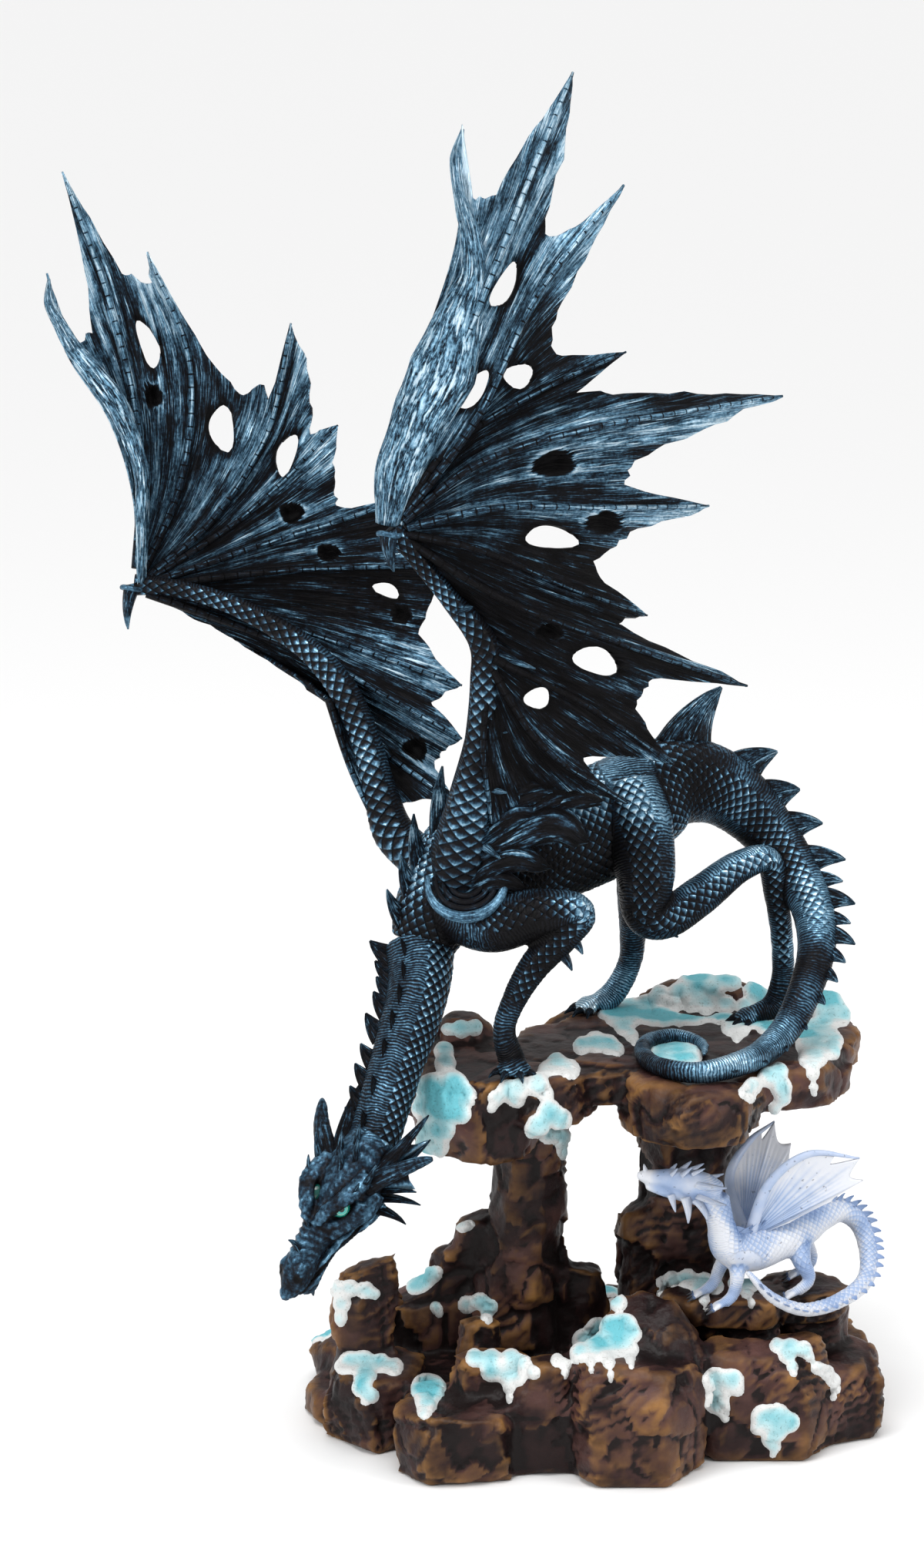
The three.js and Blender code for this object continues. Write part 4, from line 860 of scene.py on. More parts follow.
limbs = {
    "leftFore": {"outward": (0.3, -1, 0.5), "path": [
        (-66, -22, 262, 17, 16), (-46, -36, 255, 14, 14), (-24, -44, 262, 12, 12),
        (-5, -44, 262, 8.5, 9.5), (-12, -44, 252, 8.5, 9.5), (-26, -44, 236, 7.4, 7.6),
        (-36, -44, 218, 5.8, 6), (-40, -44, 205, 5.4, 5.6), (-37, -43, 192, 6.6, 6.6),
        (-34, -45, 186, 6, 4)],
        "foot": {"at": (-35, -46, 187), "toward": (-0.1, -1), "spread": 2.0}},
    "rightFore": {"outward": (-0.6, 0.8, 0.2), "path": [
        (-62, 6, 262, 16, 16), (-70, 18, 252, 13, 13), (-70, 26, 238, 10, 10), (-76, 22, 222, 8, 8),
        (-81, 16, 206, 6, 6), (-81, 14, 192, 7, 7), (-82, 12, 186, 6, 4)],
        "foot": {"at": (-82, 11, 187), "toward": (-0.6, -0.8), "spread": 1.9}},
    "leftHind": {"outward": (0, -1, 0.15), "path": [
        (20, 22, 308, 17, 17), (25, 12, 292, 17.5, 18), (29, 5, 270, 14.5, 16), (29, 2, 250, 10.5, 11),
        (38, 5, 247, 10, 10), (56, 15, 256, 9.5, 10), (76, 27, 268, 7.5, 8.5), (90, 34, 270, 6.5, 7),
        (95, 40, 252, 6, 6.5), (99, 46, 228, 5.6, 6), (100, 50, 205, 5.6, 6), (96, 50, 191, 6.5, 6),
        (86, 45, 186, 7, 4)],
        "foot": {"at": (86, 44, 187), "toward": (-1, -0.45), "spread": 1.5}},
    "rightHind": {"outward": (0, 1, 0), "path": [
        (34, 50, 300, 16, 17), (30, 56, 276, 14, 15), (27, 60, 252, 10, 11), (26, 68, 228, 7, 8),
        (25, 73, 208, 6, 6.5), (17, 72, 192, 6.5, 6), (8, 66, 186, 6.5, 4)],
        "foot": {"at": (7, 65, 187), "toward": (-1, -0.55), "spread": 1.5}},
}
slabTop = 183.0
bodyLook = {
    "voxel": 1.25,
    "cell": 5.4,              # length of a scale
    "scaleRise": 1.15,
    "ribRise": 0.3,
    "claw": 11.0,
    "paint": 0.31,
    "brush": (15, 0.34),      # how broad the forms are that catch the dry brush, and how much
    "brushed": (-0.45, 0.4),  # the most that it takes away and adds
    # painted light from above: added to the paint times how far a face looks up
    "paintedLightFromAbove": 0.13,
    "cloud": (28.0, 0.3),     # pitch and size of paler and darker areas
    # painted shade on the chest between the forelegs: where, how far, how much
    "paintedChestShade": ((-20, -50, 240), (85, 40), 0.12),  # between the forelegs: where, how far, how much
}


def toes(foot):
    # toes in a fan from the paw: low tubes that end in a claw; returns both
    middle = math.atan2(foot["toward"][1], foot["toward"][0])
    fleshy, claws = [], []
    x, y, z = foot["at"]

    def knuckles(length, angle):
        return 0.35 * np.abs(np.sin(length * 0.9)) + 0 * angle
    for i in range(4):
        heading = middle + foot["spread"] * (i / 3 - 0.5)
        dx, dy = math.cos(heading), math.sin(heading)
        reach = bodyLook["claw"] * (1 - 0.12 * abs(i - 1.5))

        def ahead(share, rise):
            return x + dx * reach * share, y + dy * reach * share, slabTop + rise
        rows = [(x, y, z + 1, 3.4, 3.4), (*ahead(0.45, 5.4), 3.2, 3.3), (*ahead(0.8, 3.6), 2.8, 2.8),
                (*ahead(1, 2.6), 2.2, 2.2)]
        fleshy.append(tube(layPath(rows, 6), 14, knuckles))
        claws.append(thorn(ahead(0.85, 3.4), ahead(1.55, 0.7), 2.1, bend=(0, 0, 4), flat=0.9, paint=0.5))
    return fleshy, claws


def bodyParts():
    # what melts into one skin (trunk with tail, legs and toes), and what stays crisp on it
    # (claws, blades along the back, and spikes at the knee and the elbow)
    spine = [*trunk, *tail]
    soft = [tube(layPath(spine, 8), 28)]
    crisp = []
    for limb in limbs.values():
        soft.append(tube(layPath(limb["path"], 8, (0, 1, 0.2)), 20))
        fleshy, claws = toes(limb["foot"])
        soft += fleshy
        crisp += claws
    crisp += blades(spine, tailBlades) + blades(trunk, shoulderBlades)
    crisp += blades(spine, evenBlades(0.62, 0.72, 4, 2.5, 5, 0.8))
    crisp.append(thorn((36, 6, 247), (45, 4, 238), 4.6, bend=(0, 0, -3)))
    crisp.append(thorn((-9, -46, 251), (-3, -48, 243), 4, bend=(2, 0, 1)))
    crisp.append(thorn((-14, -46, 244), (-8, -48, 235), 4, bend=(2, 0, 1)))
    return soft, crisp


# flame-shaped folds that fan out from behind the arm: root, middle and tip, each (x, z, y), and
# the half width
lockRows = [
    ((-50, 288, -38), (-18, 304, -37), (0, 293, -30), 9.0),
    ((-50, 296, -38), (-34, 309, -38), (-18, 307, -34), 5.5),
    ((-50, 303, -38), (-24, 319, -34), (6, 310, -24), 6.5),
    ((-48, 310, -38), (-36, 325, -36), (-19, 336, -30), 6.0),
    ((-38, 316, -40), (-29, 323, -38), (-17, 322, -33), 4.0),
    ((-44, 324, -38), (-31, 335, -37), (-21, 338, -33), 5.0),
    ((-34, 305, -39), (-17, 316, -36), (-6, 317, -32), 4.5),
    ((-22, 311, -37), (-9, 315, -34), (7, 313, -28), 4.5),
    ((-52, 278, -38), (-36, 288, -40), (-18, 282, -36), 6.5),
    ((-54, 270, -38), (-42, 277, -40), (-30, 273, -39), 5.0),
    ((-46, 332, -38), (-40, 350, -38), (-33, 367, -36), 4.5),
    ((-48, 318, -38), (-42, 338, -40), (-29, 351, -36), 4.5),
]
lockLook = {
    "sunk": (-7, 4, -3),  # how far each root is moved into the body
    "flutes": (6, 0.16),  # how many go round, and their depth as a share of the half width
    "paint": (0.2, 2.6),  # in the flutes, and how fast it pales up to their crests
}


def lock(i, root, middle, tip, wide):
    # a flat tapering tube with sharp lengthwise flutes, paler along their crests
    root, middle, tip = (np.array((x, y, z), float) for x, z, y in (root, middle, tip))
    root = root + lockLook["sunk"]
    rows = [(*root, wide * 0.6, wide * 0.6), (*middle, wide, wide * 0.75),
            (*(tip * 0.7 + middle * 0.3), wide * 0.62, wide * 0.5), (*tip, 0.4, 0.4)]
    path = layPath(rows, 9, (0, -1, 0.3))
    total = path["length"][-1]
    count, deep = lockLook["flutes"]
    dark, gain = lockLook["paint"]

    def flutes(length, angle):
        fold = pleats(angle / turn * count + 0.35 * np.sin(length / 9 + i), 1.5)
        return deep * wide * fold * ramp(total, total - 18, length)

    def paler(length, angle):
        return dark + gain * flutes(length, angle) / wide
    return tube(path, 32, flutes, grained=0.9, paint=paler)


socketLook = {
    "at": (-58, -38, 276),
    "side": (1, -0.05, 0.1),
    "facing": (-0.1, -0.8, 0.6),
    # radius, thickness, paint
    "rings": [(18.4, 2.8, 0.62), (14.2, 1.8, 0.3), (10.8, 1.7, 0.36), (7.6, 1.6, 0.3)],
}


def socketRing():
    # the pale crescent round the arm's foot, with folds inside it: arcs over the top that end
    # a little below each side and are thickest in the middle
    side = unit(socketLook["side"])
    up = unit(np.cross(socketLook["side"], socketLook["facing"]))
    made = []
    for radius, thick, paint in socketLook["rings"]:
        rows = []
        for angle in np.linspace(-0.25, math.pi + 0.35, 17):
            at = (np.array(socketLook["at"]) - side * radius * math.cos(angle)
                  + up * radius * math.sin(angle))
            swell = thick * (0.35 + 0.65 * math.sin((angle + 0.25) / (math.pi + 0.6) * math.pi))
            rows.append((*at, swell, swell))
        made.append(tube(layPath(rows, 4, (0, -1, 0.4)), 16, paint=paint, grained=0.4))
    return made


def pathMarks(path, verts, outward, cell, band, ends, start=0.0):
    # the pattern's place at each corner by the path that it lies along: scales on the outward
    # side, so many radians to each side of it, and ribs beside them and toward the path's end,
    # where ends gives how far from it the scales are gone, and over which length
    spot = whereOn(path, verts, outward)
    last = path["length"][-1] - ends[0]
    scaly = (ramp(band + 0.12, band, np.abs(spot["angle"])) * ramp(last, last - ends[1], spot["length"])
             * ramp(start - 6, start + 6, spot["length"]))
    return {"along": spot["length"] / cell, "around": spot["angle"] * spot["radius"] / cell,
            "scaly": scaly, "ribbed": 1 - scaly, "share": spot["share"], "angle": spot["angle"]}


def mixed(marks, other, here):
    # the other marks where here is above a half; scales and ribs fade across the change
    fade = np.abs(2 * here - 1)
    made = {name: np.where(here > 0.5, other[name], marks[name]) for name in ("along", "around", "angle")}
    for name in ("scaly", "ribbed"):
        made[name] = (marks[name] * (1 - here) + other[name] * here) * fade
    return made


def nearestMarks(marks, paths, verts, outwards, cell, band, ends):
    # the marks of whichever path is nearest, counted in its own radii; also how near that is
    best = marks.pop("share")
    for path, outward in zip(paths, outwards):
        other = pathMarks(layPath(path, 8, (0, 1, 0.2)), verts, outward, cell, band, ends)
        share = other.pop("share")
        marks = mixed(marks, other, ramp(1.06, 0.94, share / best))
        best = np.minimum(best, share)
    return marks, best


def bodyMarks(verts):
    # scales on the trunk's and the limbs' outward sides, over the whole side on the trunk's
    # first 150 mm, and ribs elsewhere
    cell = bodyLook["cell"]
    spine = layPath([*trunk, *tail], 8)
    marks = pathMarks(spine, verts, (0, -1, 0.1), cell, 0.5, (230.0, 40.0))
    onTrunk = ramp(190, 150, marks["along"] * cell)
    marks["scaly"] = np.maximum(marks["scaly"], onTrunk * ramp(2.0, 1.7, np.abs(marks["angle"])))
    marks["ribbed"] = (1 - marks["scaly"]) * 0.9
    paths, outwards = zip(*[(limb["path"], limb["outward"]) for limb in limbs.values()])
    return nearestMarks(marks, paths, verts, outwards, cell, 0.45, (30.0, 12.0))[0]


def relieved(marks):
    # how far the pattern stands out at each corner, in millimetres
    rib = np.abs((marks["along"] * reliefLook["ribs"]) % 1 - 0.5) * 2
    return (bodyLook["scaleRise"] * marks["scaly"] * (scales(marks["along"], marks["around"]) - 0.4)
            + bodyLook["ribRise"] * marks["ribbed"] * (rib - 0.5))


def dressed(skin, rise, marks, brush, base):
    # the skin moved out by its pattern; a dry brush catches whatever stands proud of the calmed
    # form, and painted light from above makes faces that look up paler and faces that look down darker
    verts, quads = skin["verts"], skin["quads"]
    rounds, gain = brush
    form, outward = proud(verts, quads, rounds), outwardOf(verts, quads)
    skin["verts"] = verts + outward * rise[:, None]
    skin["marks"] = {name: marks[name] for name in ("along", "around", "scaly", "ribbed")}
    skin["marks"]["paint"] = (base + np.clip(gain * form, *bodyLook["brushed"])
                              + bodyLook["paintedLightFromAbove"] * outward[:, 2])
    return skin


def dragonBody():
    # the melted skin in its scales, kept above the slab, with claws, blades, folds and crescent
    soft, crisp = bodyParts()
    skin = oneSkin(joined(soft), bodyLook["voxel"])
    skin["verts"] = calmed(skin["verts"], skin["quads"], 3)
    marks = bodyMarks(skin["verts"])
    pitch, clouded = bodyLook["cloud"]
    cloud = roughNoise(skin["verts"], pitch, 3, 2)
    # painted shade: the paint is darker near the chest between the forelegs
    at, reach, chestShadeDepth = bodyLook["paintedChestShade"]
    paintedChestShade = ramp(*reach, np.linalg.norm((skin["verts"] - at) * (1, 1, 0.8), axis=1))
    skin = dressed(skin, relieved(marks), marks, bodyLook["brush"],
                   bodyLook["paint"] + clouded * cloud - chestShadeDepth * paintedChestShade)
    low = skin["verts"][:, 2] < slabTop + 0.5
    skin["verts"][low, 2] = np.maximum(skin["verts"][low, 2], slabTop + 0.1)
    folds = [lock(i, *row) for i, row in enumerate(lockRows)]
    return joined([skin, *crisp, *folds, *socketRing()])


# Head and neck
# The head has a frame of its own: along to the nose, left, and above.
headFrame = {
    "origin": np.array((-102.0, -76.0, 152.0)),
    "along": np.array((-0.519, -0.329, -0.789)),
    "left": np.array((0.715, -0.672, -0.19)),
    "above": np.array((-0.468, -0.663, 0.585)),
}
headLook = {
    "voxel": 0.82,
    "cell": 5.2,                # length of a scale on the neck
    "wrinkle": (3.1, 0.95),     # across the snout: pitch and rise
    "lip": (2.3, 0.8),
    "knob": (4.2, 0.6),
    "eye": (28.5, 10.4, 17.6),  # along, left and above, of the lids
    "eyeInset": (2.4, 5.2),     # how much further in and down the ball lies
    "eyeRadius": 5.0,
    "gaze": (0.2, 0.95, 0.62),
    "nostril": (66, 5.4, 7.6),
    "brush": (23, 0.26),
    "paint": (0.3, 0.09),       # on the neck, and how much more on the head
}


def headSpot(rows):
    # from the head's own along, left and above to the statue's frame; further columns are kept
    rows = np.atleast_2d(np.asarray(rows, float))
    at = (headFrame["origin"] + rows[:, :1] * headFrame["along"] + rows[:, 1:2] * headFrame["left"]
          + rows[:, 2:3] * headFrame["above"])
    return np.hstack([at, rows[:, 3:]])


def headPlace(points):
    # the way back: along, left and above of points of the statue
    off = points - headFrame["origin"]
    return np.stack([off @ headFrame[name] for name in ("along", "left", "above")], axis=1)


def mirrored(rows, side):
    # the same rows on the left, with side 1, or on the right, with side -1
    return [(row[0], row[1] * side, *row[2:]) for row in rows]


def headTube(rows, sides):
    # a tube whose rows are given in the head's own frame
    return tube(layPath(headSpot(rows), 8, headFrame["above"]), sides)


def headThorn(root, tip, radius, bend, **look):
    # a thorn whose root, tip and bend are given in the head's own frame
    root, tip = headSpot([root, tip])
    turnedBend = headSpot([bend])[0] - headFrame["origin"]
    return thorn(root, tip, radius, bend=turnedBend, **look)


def web(tips, roots):
    # a thin frill between thorns: a sheet from the roots' line to the tips' line, hollowed
    # between the thorns by 0.35 * |sin(pi * place)|
    tips, roots = headSpot(tips), headSpot(roots)
    share = np.linspace(0, 1, 10)[:, None]
    across = np.linspace(0, len(tips) - 1, 9)
    hollow = 1 - 0.35 * np.abs(np.sin(math.pi * across))
    a, b = straight(roots, across), straight(tips, across)
    at = a[None] + (b - a)[None] * (share * hollow[None])[..., None]
    face = unit(np.cross(b[0] - a[0], a[-1] - a[0]))
    ridge = 0.5 * np.cos(across * turn)[None, :, None] * face
    front, back = (at + ridge + face * 0.5).reshape(-1, 3), (at + ridge - face * 0.5).reshape(-1, 3)
    paint = np.broadcast_to(0.45 + 0.4 * np.cos(across * turn)[None], (10, 9)).ravel()
    return twoSided(front, back, sheetGrid(10, 9), paint=paint)


# In the head's own frame a row is (along, left, above, half width, half height).
skull = [
    (-8, 0, 4, 12, 12), (6, 0, 5, 14, 13.5), (19, 0, 3.5, 15.2, 14.5), (30, 0, 3.5, 11.8, 12.5),
    (42, 0, 6.2, 7.4, 8.4), (52, 0, 6, 6.4, 7.6), (62, 0, 3.6, 7.2, 7.8), (70, 0, 1.6, 6.2, 6.2),
    (75, 0, 0.6, 3, 3),
]
lowerJaw = [
    (6, 0, -5, 12, 6), (20, 0, -8, 12.5, 6.5), (33, 0, -6.5, 9.5, 6), (46, 0, -3.6, 7, 5),
    (58, 0, -4.4, 6.4, 4.4), (66, 0, -8, 5, 4.4), (68, 0, -11.5, 2.4, 3),
]
noseTip = [(69, 0, 2, 4.8, 4.8), (76, 0, 2, 2.8, 2.8), (78.5, 0, 1.4, 0.8, 0.8)]
# on each side, with the number of corners round: brow, lower lid, cheek, nostril, and the
# jaw's corner with the lips
faceTubes = [
    (14, [(10, 12.5, 12, 4.4, 3.4), (18, 13, 15.6, 5, 3), (26, 11.4, 18, 4.6, 2.6),
          (34, 6.6, 17.4, 3.8, 2.6), (42, 2.6, 14, 1.8, 1.8)]),
    (10, [(22, 14.4, 9.6, 2, 2), (28, 13.4, 9, 1.8, 1.8), (34, 10.4, 9.6, 1.7, 1.7),
          (39, 7, 11, 1.4, 1.4)]),
    (14, [(14, 14.5, 2, 4, 5), (24, 14.5, 3, 4.4, 5), (34, 11, 5, 3.4, 3.6), (42, 8, 6.5, 2, 2)]),
    (12, [(60, 4.6, 8.4, 2.4, 2), (65, 5.2, 7.6, 2.8, 2.2), (69, 4, 5.6, 1.6, 1.6)]),
    (10, [(16, 13, -8, 3, 3), (28, 11.5, -6.5, 2.2, 2), (42, 8, -1.4, 1.8, 1.6), (54, 7.4, -1, 1.7, 1.5),
          (64, 6.4, -3.4, 1.6, 1.4), (71, 3, -2.6, 1.4, 1.2)]),
]


def headParts():
    # what melts into the head's and neck's one skin
    soft = [tube(layPath(neck, 8, (-1, 0, 0)), 26)]
    soft += [headTube(skull, 28), headTube(lowerJaw, 20), headTube(noseTip, 14)]
    for side in (1, -1):
        soft += [headTube(mirrored(rows, side), count) for count, rows in faceTubes]
    return soft


def horn(rows, grooves, paint):
    # a ringed horn: its radius dips by 0.28 mm at every groove, and it pales toward the tip
    path = layPath(headSpot(rows), 14, headFrame["above"])
    total = path["length"][-1]

    def rings(length, angle):
        return -0.28 * (1 - np.abs(np.sin(length / total * math.pi * grooves)) ** 0.3) + 0 * angle

    def paler(length, angle):
        return paint + 0.3 * length / total + 0.7 * rings(length, angle)
    return tube(path, 18, rings, paint=paler, grained=0.6)


leftHorn = [(14, 12, 8, 5, 4.6), (6, 20, 11, 4.8, 4), (-2, 28, 11.5, 3.8, 3.2), (-9, 34, 10, 2.6, 2.2),
            (-12, 37, 9, 1.2, 1)]
rightHorn = [(14, -12, 8, 5, 4.6), (6, -20, 11, 5.2, 4), (-2, -28, 11.5, 4, 3.2), (-9, -34, 10, 2.6, 2.2),
             (-12, -37, 9, 1, 0.8)]
# thorns: root, tip, radius, bend and look; first the ones on each side, then the single ones
sideThorns = [
    ((8, 11, 6), (-29, 22, 9), 5.6, (0, 6, 4), {"flat": 0.6, "rings": 8, "sides": 16, "paint": 0.45}),
    ((9, 10, 0), (-20, 25, 2), 4.6, (0, 5, 0), {"flat": 0.6, "rings": 7, "sides": 16, "paint": 0.45}),
    ((12, 10, -4), (4, 28, -6), 4.4, (-4, 2, 0), {"flat": 0.4, "sides": 14, "paint": 0.5}),
    ((15, 10, -6), (8, 31, -10), 4.4, (-4, 2, 0), {"flat": 0.4, "sides": 14, "paint": 0.5}),
    ((20, 11, -7), (19, 28, -12), 4.2, (-4, 2, 0), {"flat": 0.5, "sides": 14, "paint": 0.5}),
    ((17, 13, 11), (4, 20, 21), 2.8, (0, 3, 3), {}),
    ((24, 12.5, 14), (15, 17, 21), 2.2, (0, 2, 2), {}),
    ((33, 9.5, 16), (28, 11, 20.5), 1.8, (0, 1, 1), {}),
]
frill = {"tips": [(-27, 21, 9), (-19, 24.5, 2.4), (3, 27, -5.6)],
         "roots": [(4, 11, 6), (6, 11, 1), (12, 12, -3)]}
crownThorns = [
    ((55, 0, 11), (54, 0, 22), 2.8, (-3, 0, 0)),
    ((44, 0, 13), (42, 0, 17.5), 1.8, (0, 0, 0)),
    ((14, 0, 15), (5, 0, 25), 2.8, (-2, 0, 3)),
    ((7, 4, 15), (-3, 5, 24), 2.6, (-2, 0, 3)),
    ((8, -5, 15), (-2, -6, 23), 2.4, (-2, 0, 3)),
    ((1, 0, 14), (-9, 0, 22), 2.6, (-2, 0, 3)),
    ((66, 0, -12), (69, 0, -17), 2.0, (0, 0, 0)),
]


def headSpikes():
    # two horns, thorns with a frill on each side, a crown of thorns, and three rows of blades
    # down the neck
    made = [horn(leftHorn, 9, 0.3), horn(rightHorn, 9, 0.3)]
    for side in (1, -1):
        for root, tip, radius, bend, look in sideThorns:
            root, tip, bend = mirrored((root, tip, bend), side)
            made.append(headThorn(root, tip, radius, bend, **look))
        made.append(web(mirrored(frill["tips"], side), mirrored(frill["roots"], side)))
    made += [headThorn(*row) for row in crownThorns]
    made += blades(neck, neckBlades, up=(-1, 0, 0), paint=0.5)
    made += blades(neck, evenBlades(0.08, 0.8, 7, 5, 9, -1), up=(-1, 0, 0), turned=1.1, paint=0.45)
    made += blades(neck, evenBlades(0.1, 0.8, 7, 3.5, 8, -1), up=(-1, 0, 0), turned=-0.9, paint=0.4)
    return made


def headPattern(verts):
    # wrinkles across the snout, rows of lip folds along the jaw, a calm round the eye, and
    # scales with ribs beside them down the neck; gives the rise in millimetres, what it adds
    # to the paint, and the marks
    along, left, above = headPlace(verts).T
    side = np.abs(left)
    marks = pathMarks(layPath(neck, 8, (-1, 0, 0)), verts, (0.75, -0.65, 0.1), headLook["cell"], 0.6,
                      (-40.0, 10.0), start=-20.0)
    onHead = ramp(-12, -2, along)
    for name in ("scaly", "ribbed"):
        marks[name] = marks[name] * (1 - onHead)
    wobble = roughNoise(verts, 9.0, 21, 2)
    (wrinklePitch, wrinkleRise), (lipPitch, lipRise), (knobPitch, knobRise) = (
        headLook[name] for name in ("wrinkle", "lip", "knob"))
    onSnout = ramp(36, 42, along) * ramp(60, 54, along) * ramp(2, 7, above)
    wrinkle = pleats(along / wrinklePitch + 0.35 * wobble + side * 0.08, 1.2)
    lip = pleats((above + 2.2 * wobble) / lipPitch, 1.1)
    onLip = ramp(6, 0, above) * ramp(8, 20, along)
    knobs = (pleats(along / knobPitch + above / 6 + 0.6 * wobble, 1.0)
             * pleats(side / 4.4 + 0.5 * wobble, 1.0))
    onKnobs = 1 - np.maximum(onSnout, onLip)
    rise = wrinkleRise * wrinkle * onSnout + lipRise * lip * onLip + knobRise * knobs * onKnobs
    mark = wrinkle * onSnout + (0.25 + 0.75 * lip) * onLip + knobs * onKnobs
    x, y, z = headLook["eye"]
    eyeOff = np.stack([along - x, side - y, above - z + 3], 1)
    calm = ramp(4.6, 7.5, np.linalg.norm(eyeOff / (1.25, 1.0, 1.0), axis=1))
    x, y, z = headLook["nostril"]
    nostril = np.linalg.norm(np.stack([along - x, side - y, above - z], 1) / (2.2, 1.3, 1.5), axis=1)
    # the mouth's line climbs toward the nose and wavers
    mouth = np.abs(above - (-3.2 + 0.055 * (along - 30) + 0.8 * np.sin(along / 7)))
    slit = ramp(0.9, 0.2, np.where(along > 20, mouth, 9)) * onHead
    rise = relieved(marks) + rise * calm * onHead - 2.2 * ramp(1.5, 0.3, nostril) - 1.2 * slit
    mark = 0.17 * (mark - 0.55) * calm * onHead
    mark = mark - 1.0 * ramp(1.7, 0.6, nostril) - 0.8 * slit - 0.4 * (1 - calm) * onHead
    return rise, mark, marks


def headAndNeck():
    # the melted skin with its pattern and a fine grit, and everything that stands on it
    skin = oneSkin(joined(headParts()), headLook["voxel"])
    skin["verts"] = calmed(skin["verts"], skin["quads"], 5)
    rise, mark, marks = headPattern(skin["verts"])
    grit = roughNoise(skin["verts"], 2.2, 5, 2)
    onHead = ramp(-12, 2, headPlace(skin["verts"])[:, 0])
    paint, more = headLook["paint"]
    skin = dressed(skin, rise + 0.14 * grit, marks, headLook["brush"], paint + more * onHead + mark)
    return joined([skin, *headSpikes()])


def eyes():
    # a ball under each brow; the mark is the angle from where the dragon looks, over 1.2
    made = []
    along, left, above = headLook["eye"]
    inward, down = headLook["eyeInset"]
    radius = headLook["eyeRadius"]
    for side in (1, -1):
        middle = headSpot([(along, (left - inward) * side, above - down)])[0]
        gaze = unit(headSpot(mirrored([headLook["gaze"]], side))[0] - headFrame["origin"])
        rows = []
        for tilt in np.linspace(-1.5, 1.5, 17):
            wide = radius * math.cos(tilt) + 0.02
            rows.append((*(middle + gaze * radius * math.sin(tilt)), wide, wide))
        ball = tube(layPath(rows, 1, headFrame["above"]), 32)
        off = ball["verts"] - middle
        ball["marks"]["paint"] = np.arccos(np.clip(unit(off) @ gaze, -1, 1)) / 1.2
        made.append(ball)
    return joined(made)


# Plinth
plinthLook = {
    "voxel": 2.16,
    "bent": (19.0, 3.0),          # pitch and size of the bend in the shards' edges
    "broad": (24.0, 2.7),         # large shards: pitch and rise
    "small": (9.0, 0.9),
    "grit": (5.0, 0.4),
    "crack": (21.0, 1.5),
    "layer": 4.6,                 # thickness of a layer
    "lean": (-0.5, 0.12, 0.86),   # across the layers
    # painted shade where the column stands under the slab: heights where it fades in and out, and where
    # it starts beside
    "paintedShadeUnderSlab": ((50, 80), (165, 151), (-100, -85)),  # darker under the slab: up, down and beside
}
view = {
    "target": (-60.0, 0.0, 315.0),
    "height": 12.0,               # degrees over the level
    "distance": 1800.0,
    "step": 0.37,                 # millimetres to a pixel at the target
    "middle": (600.0, 1018.0),
    "rows": 2036,
}
slope = math.radians(view["height"])
lookBack = np.array((0, -math.cos(slope), math.sin(slope)))
pictureRight = np.array((1.0, 0, 0))
pictureUp = np.cross(pictureRight, -lookBack)
pixelReach = view["distance"] / view["step"]
viewPoint = np.array(view["target"]) + lookBack * view["distance"]


def seenAt(points):
    # where points show in the picture, in its pixels, and how far they are
    off = points - viewPoint
    far = -off @ lookBack
    across = view["middle"][0] + pixelReach * (off @ pictureRight) / far
    down = view["middle"][1] - pixelReach * (off @ pictureUp) / far
    return np.stack([across, down], 1), far


def sightLine(pixel):
    # the way from the view's own point through a pixel
    return unit(-lookBack * pixelReach + pictureRight * (pixel[0] - view["middle"][0])
                + pictureUp * (view["middle"][1] - pixel[1]))


def solidOf(node):
    # a CAD node's mesh with its doubled corners merged, in millimetres
    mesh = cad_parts[node].data
    verts = np.empty(len(mesh.vertices) * 3, np.float32)
    mesh.vertices.foreach_get("co", verts)
    corners = np.empty(len(mesh.loops), np.int32)
    mesh.loops.foreach_get("vertex_index", corners)
    verts, which = np.unique(np.round(verts.reshape(-1, 3) / mm, 3), axis=0, return_inverse=True)
    return part(verts, tris=which.ravel()[corners].reshape(-1, 3))


def shards(points, pitch, seed):
    # broken stone: the lattice cells of a pitch each hold one chance spot; a point belongs to
    # its nearest spot, and gets that spot's height plus its slope times the way from the spot.
    # Also the chance value of the spot.
    points = np.asarray(points, float) / pitch
    cell = np.floor(points).astype(np.int64)
    nearest = np.full(len(points), 99.0)
    height, chance = np.zeros(len(points)), np.zeros(len(points))
    for step in np.indices((3, 3, 3)).reshape(3, -1).T - 1:
        home = cell + step
        code = home @ hashSteps + seed * 7919
        values = []
        for k in range(7):
            jumbled = ((code ^ (code >> 13)) * (1274126177 + 2 * k)) & 0x7fffffff
            values.append(((jumbled ^ (jumbled >> 15)) & 0xffff) / 65535)
        off = points - (home + np.stack(values[:3], 1))
        far = (off ** 2).sum(1)
        here = far < nearest
        slope = np.stack(values[3:6], 1) * 2 - 1
        nearest = np.where(here, far, nearest)
        height = np.where(here, (off * slope).sum(1) + values[6] - 0.5, height)
        chance = np.where(here, values[6], chance)
    return height, chance


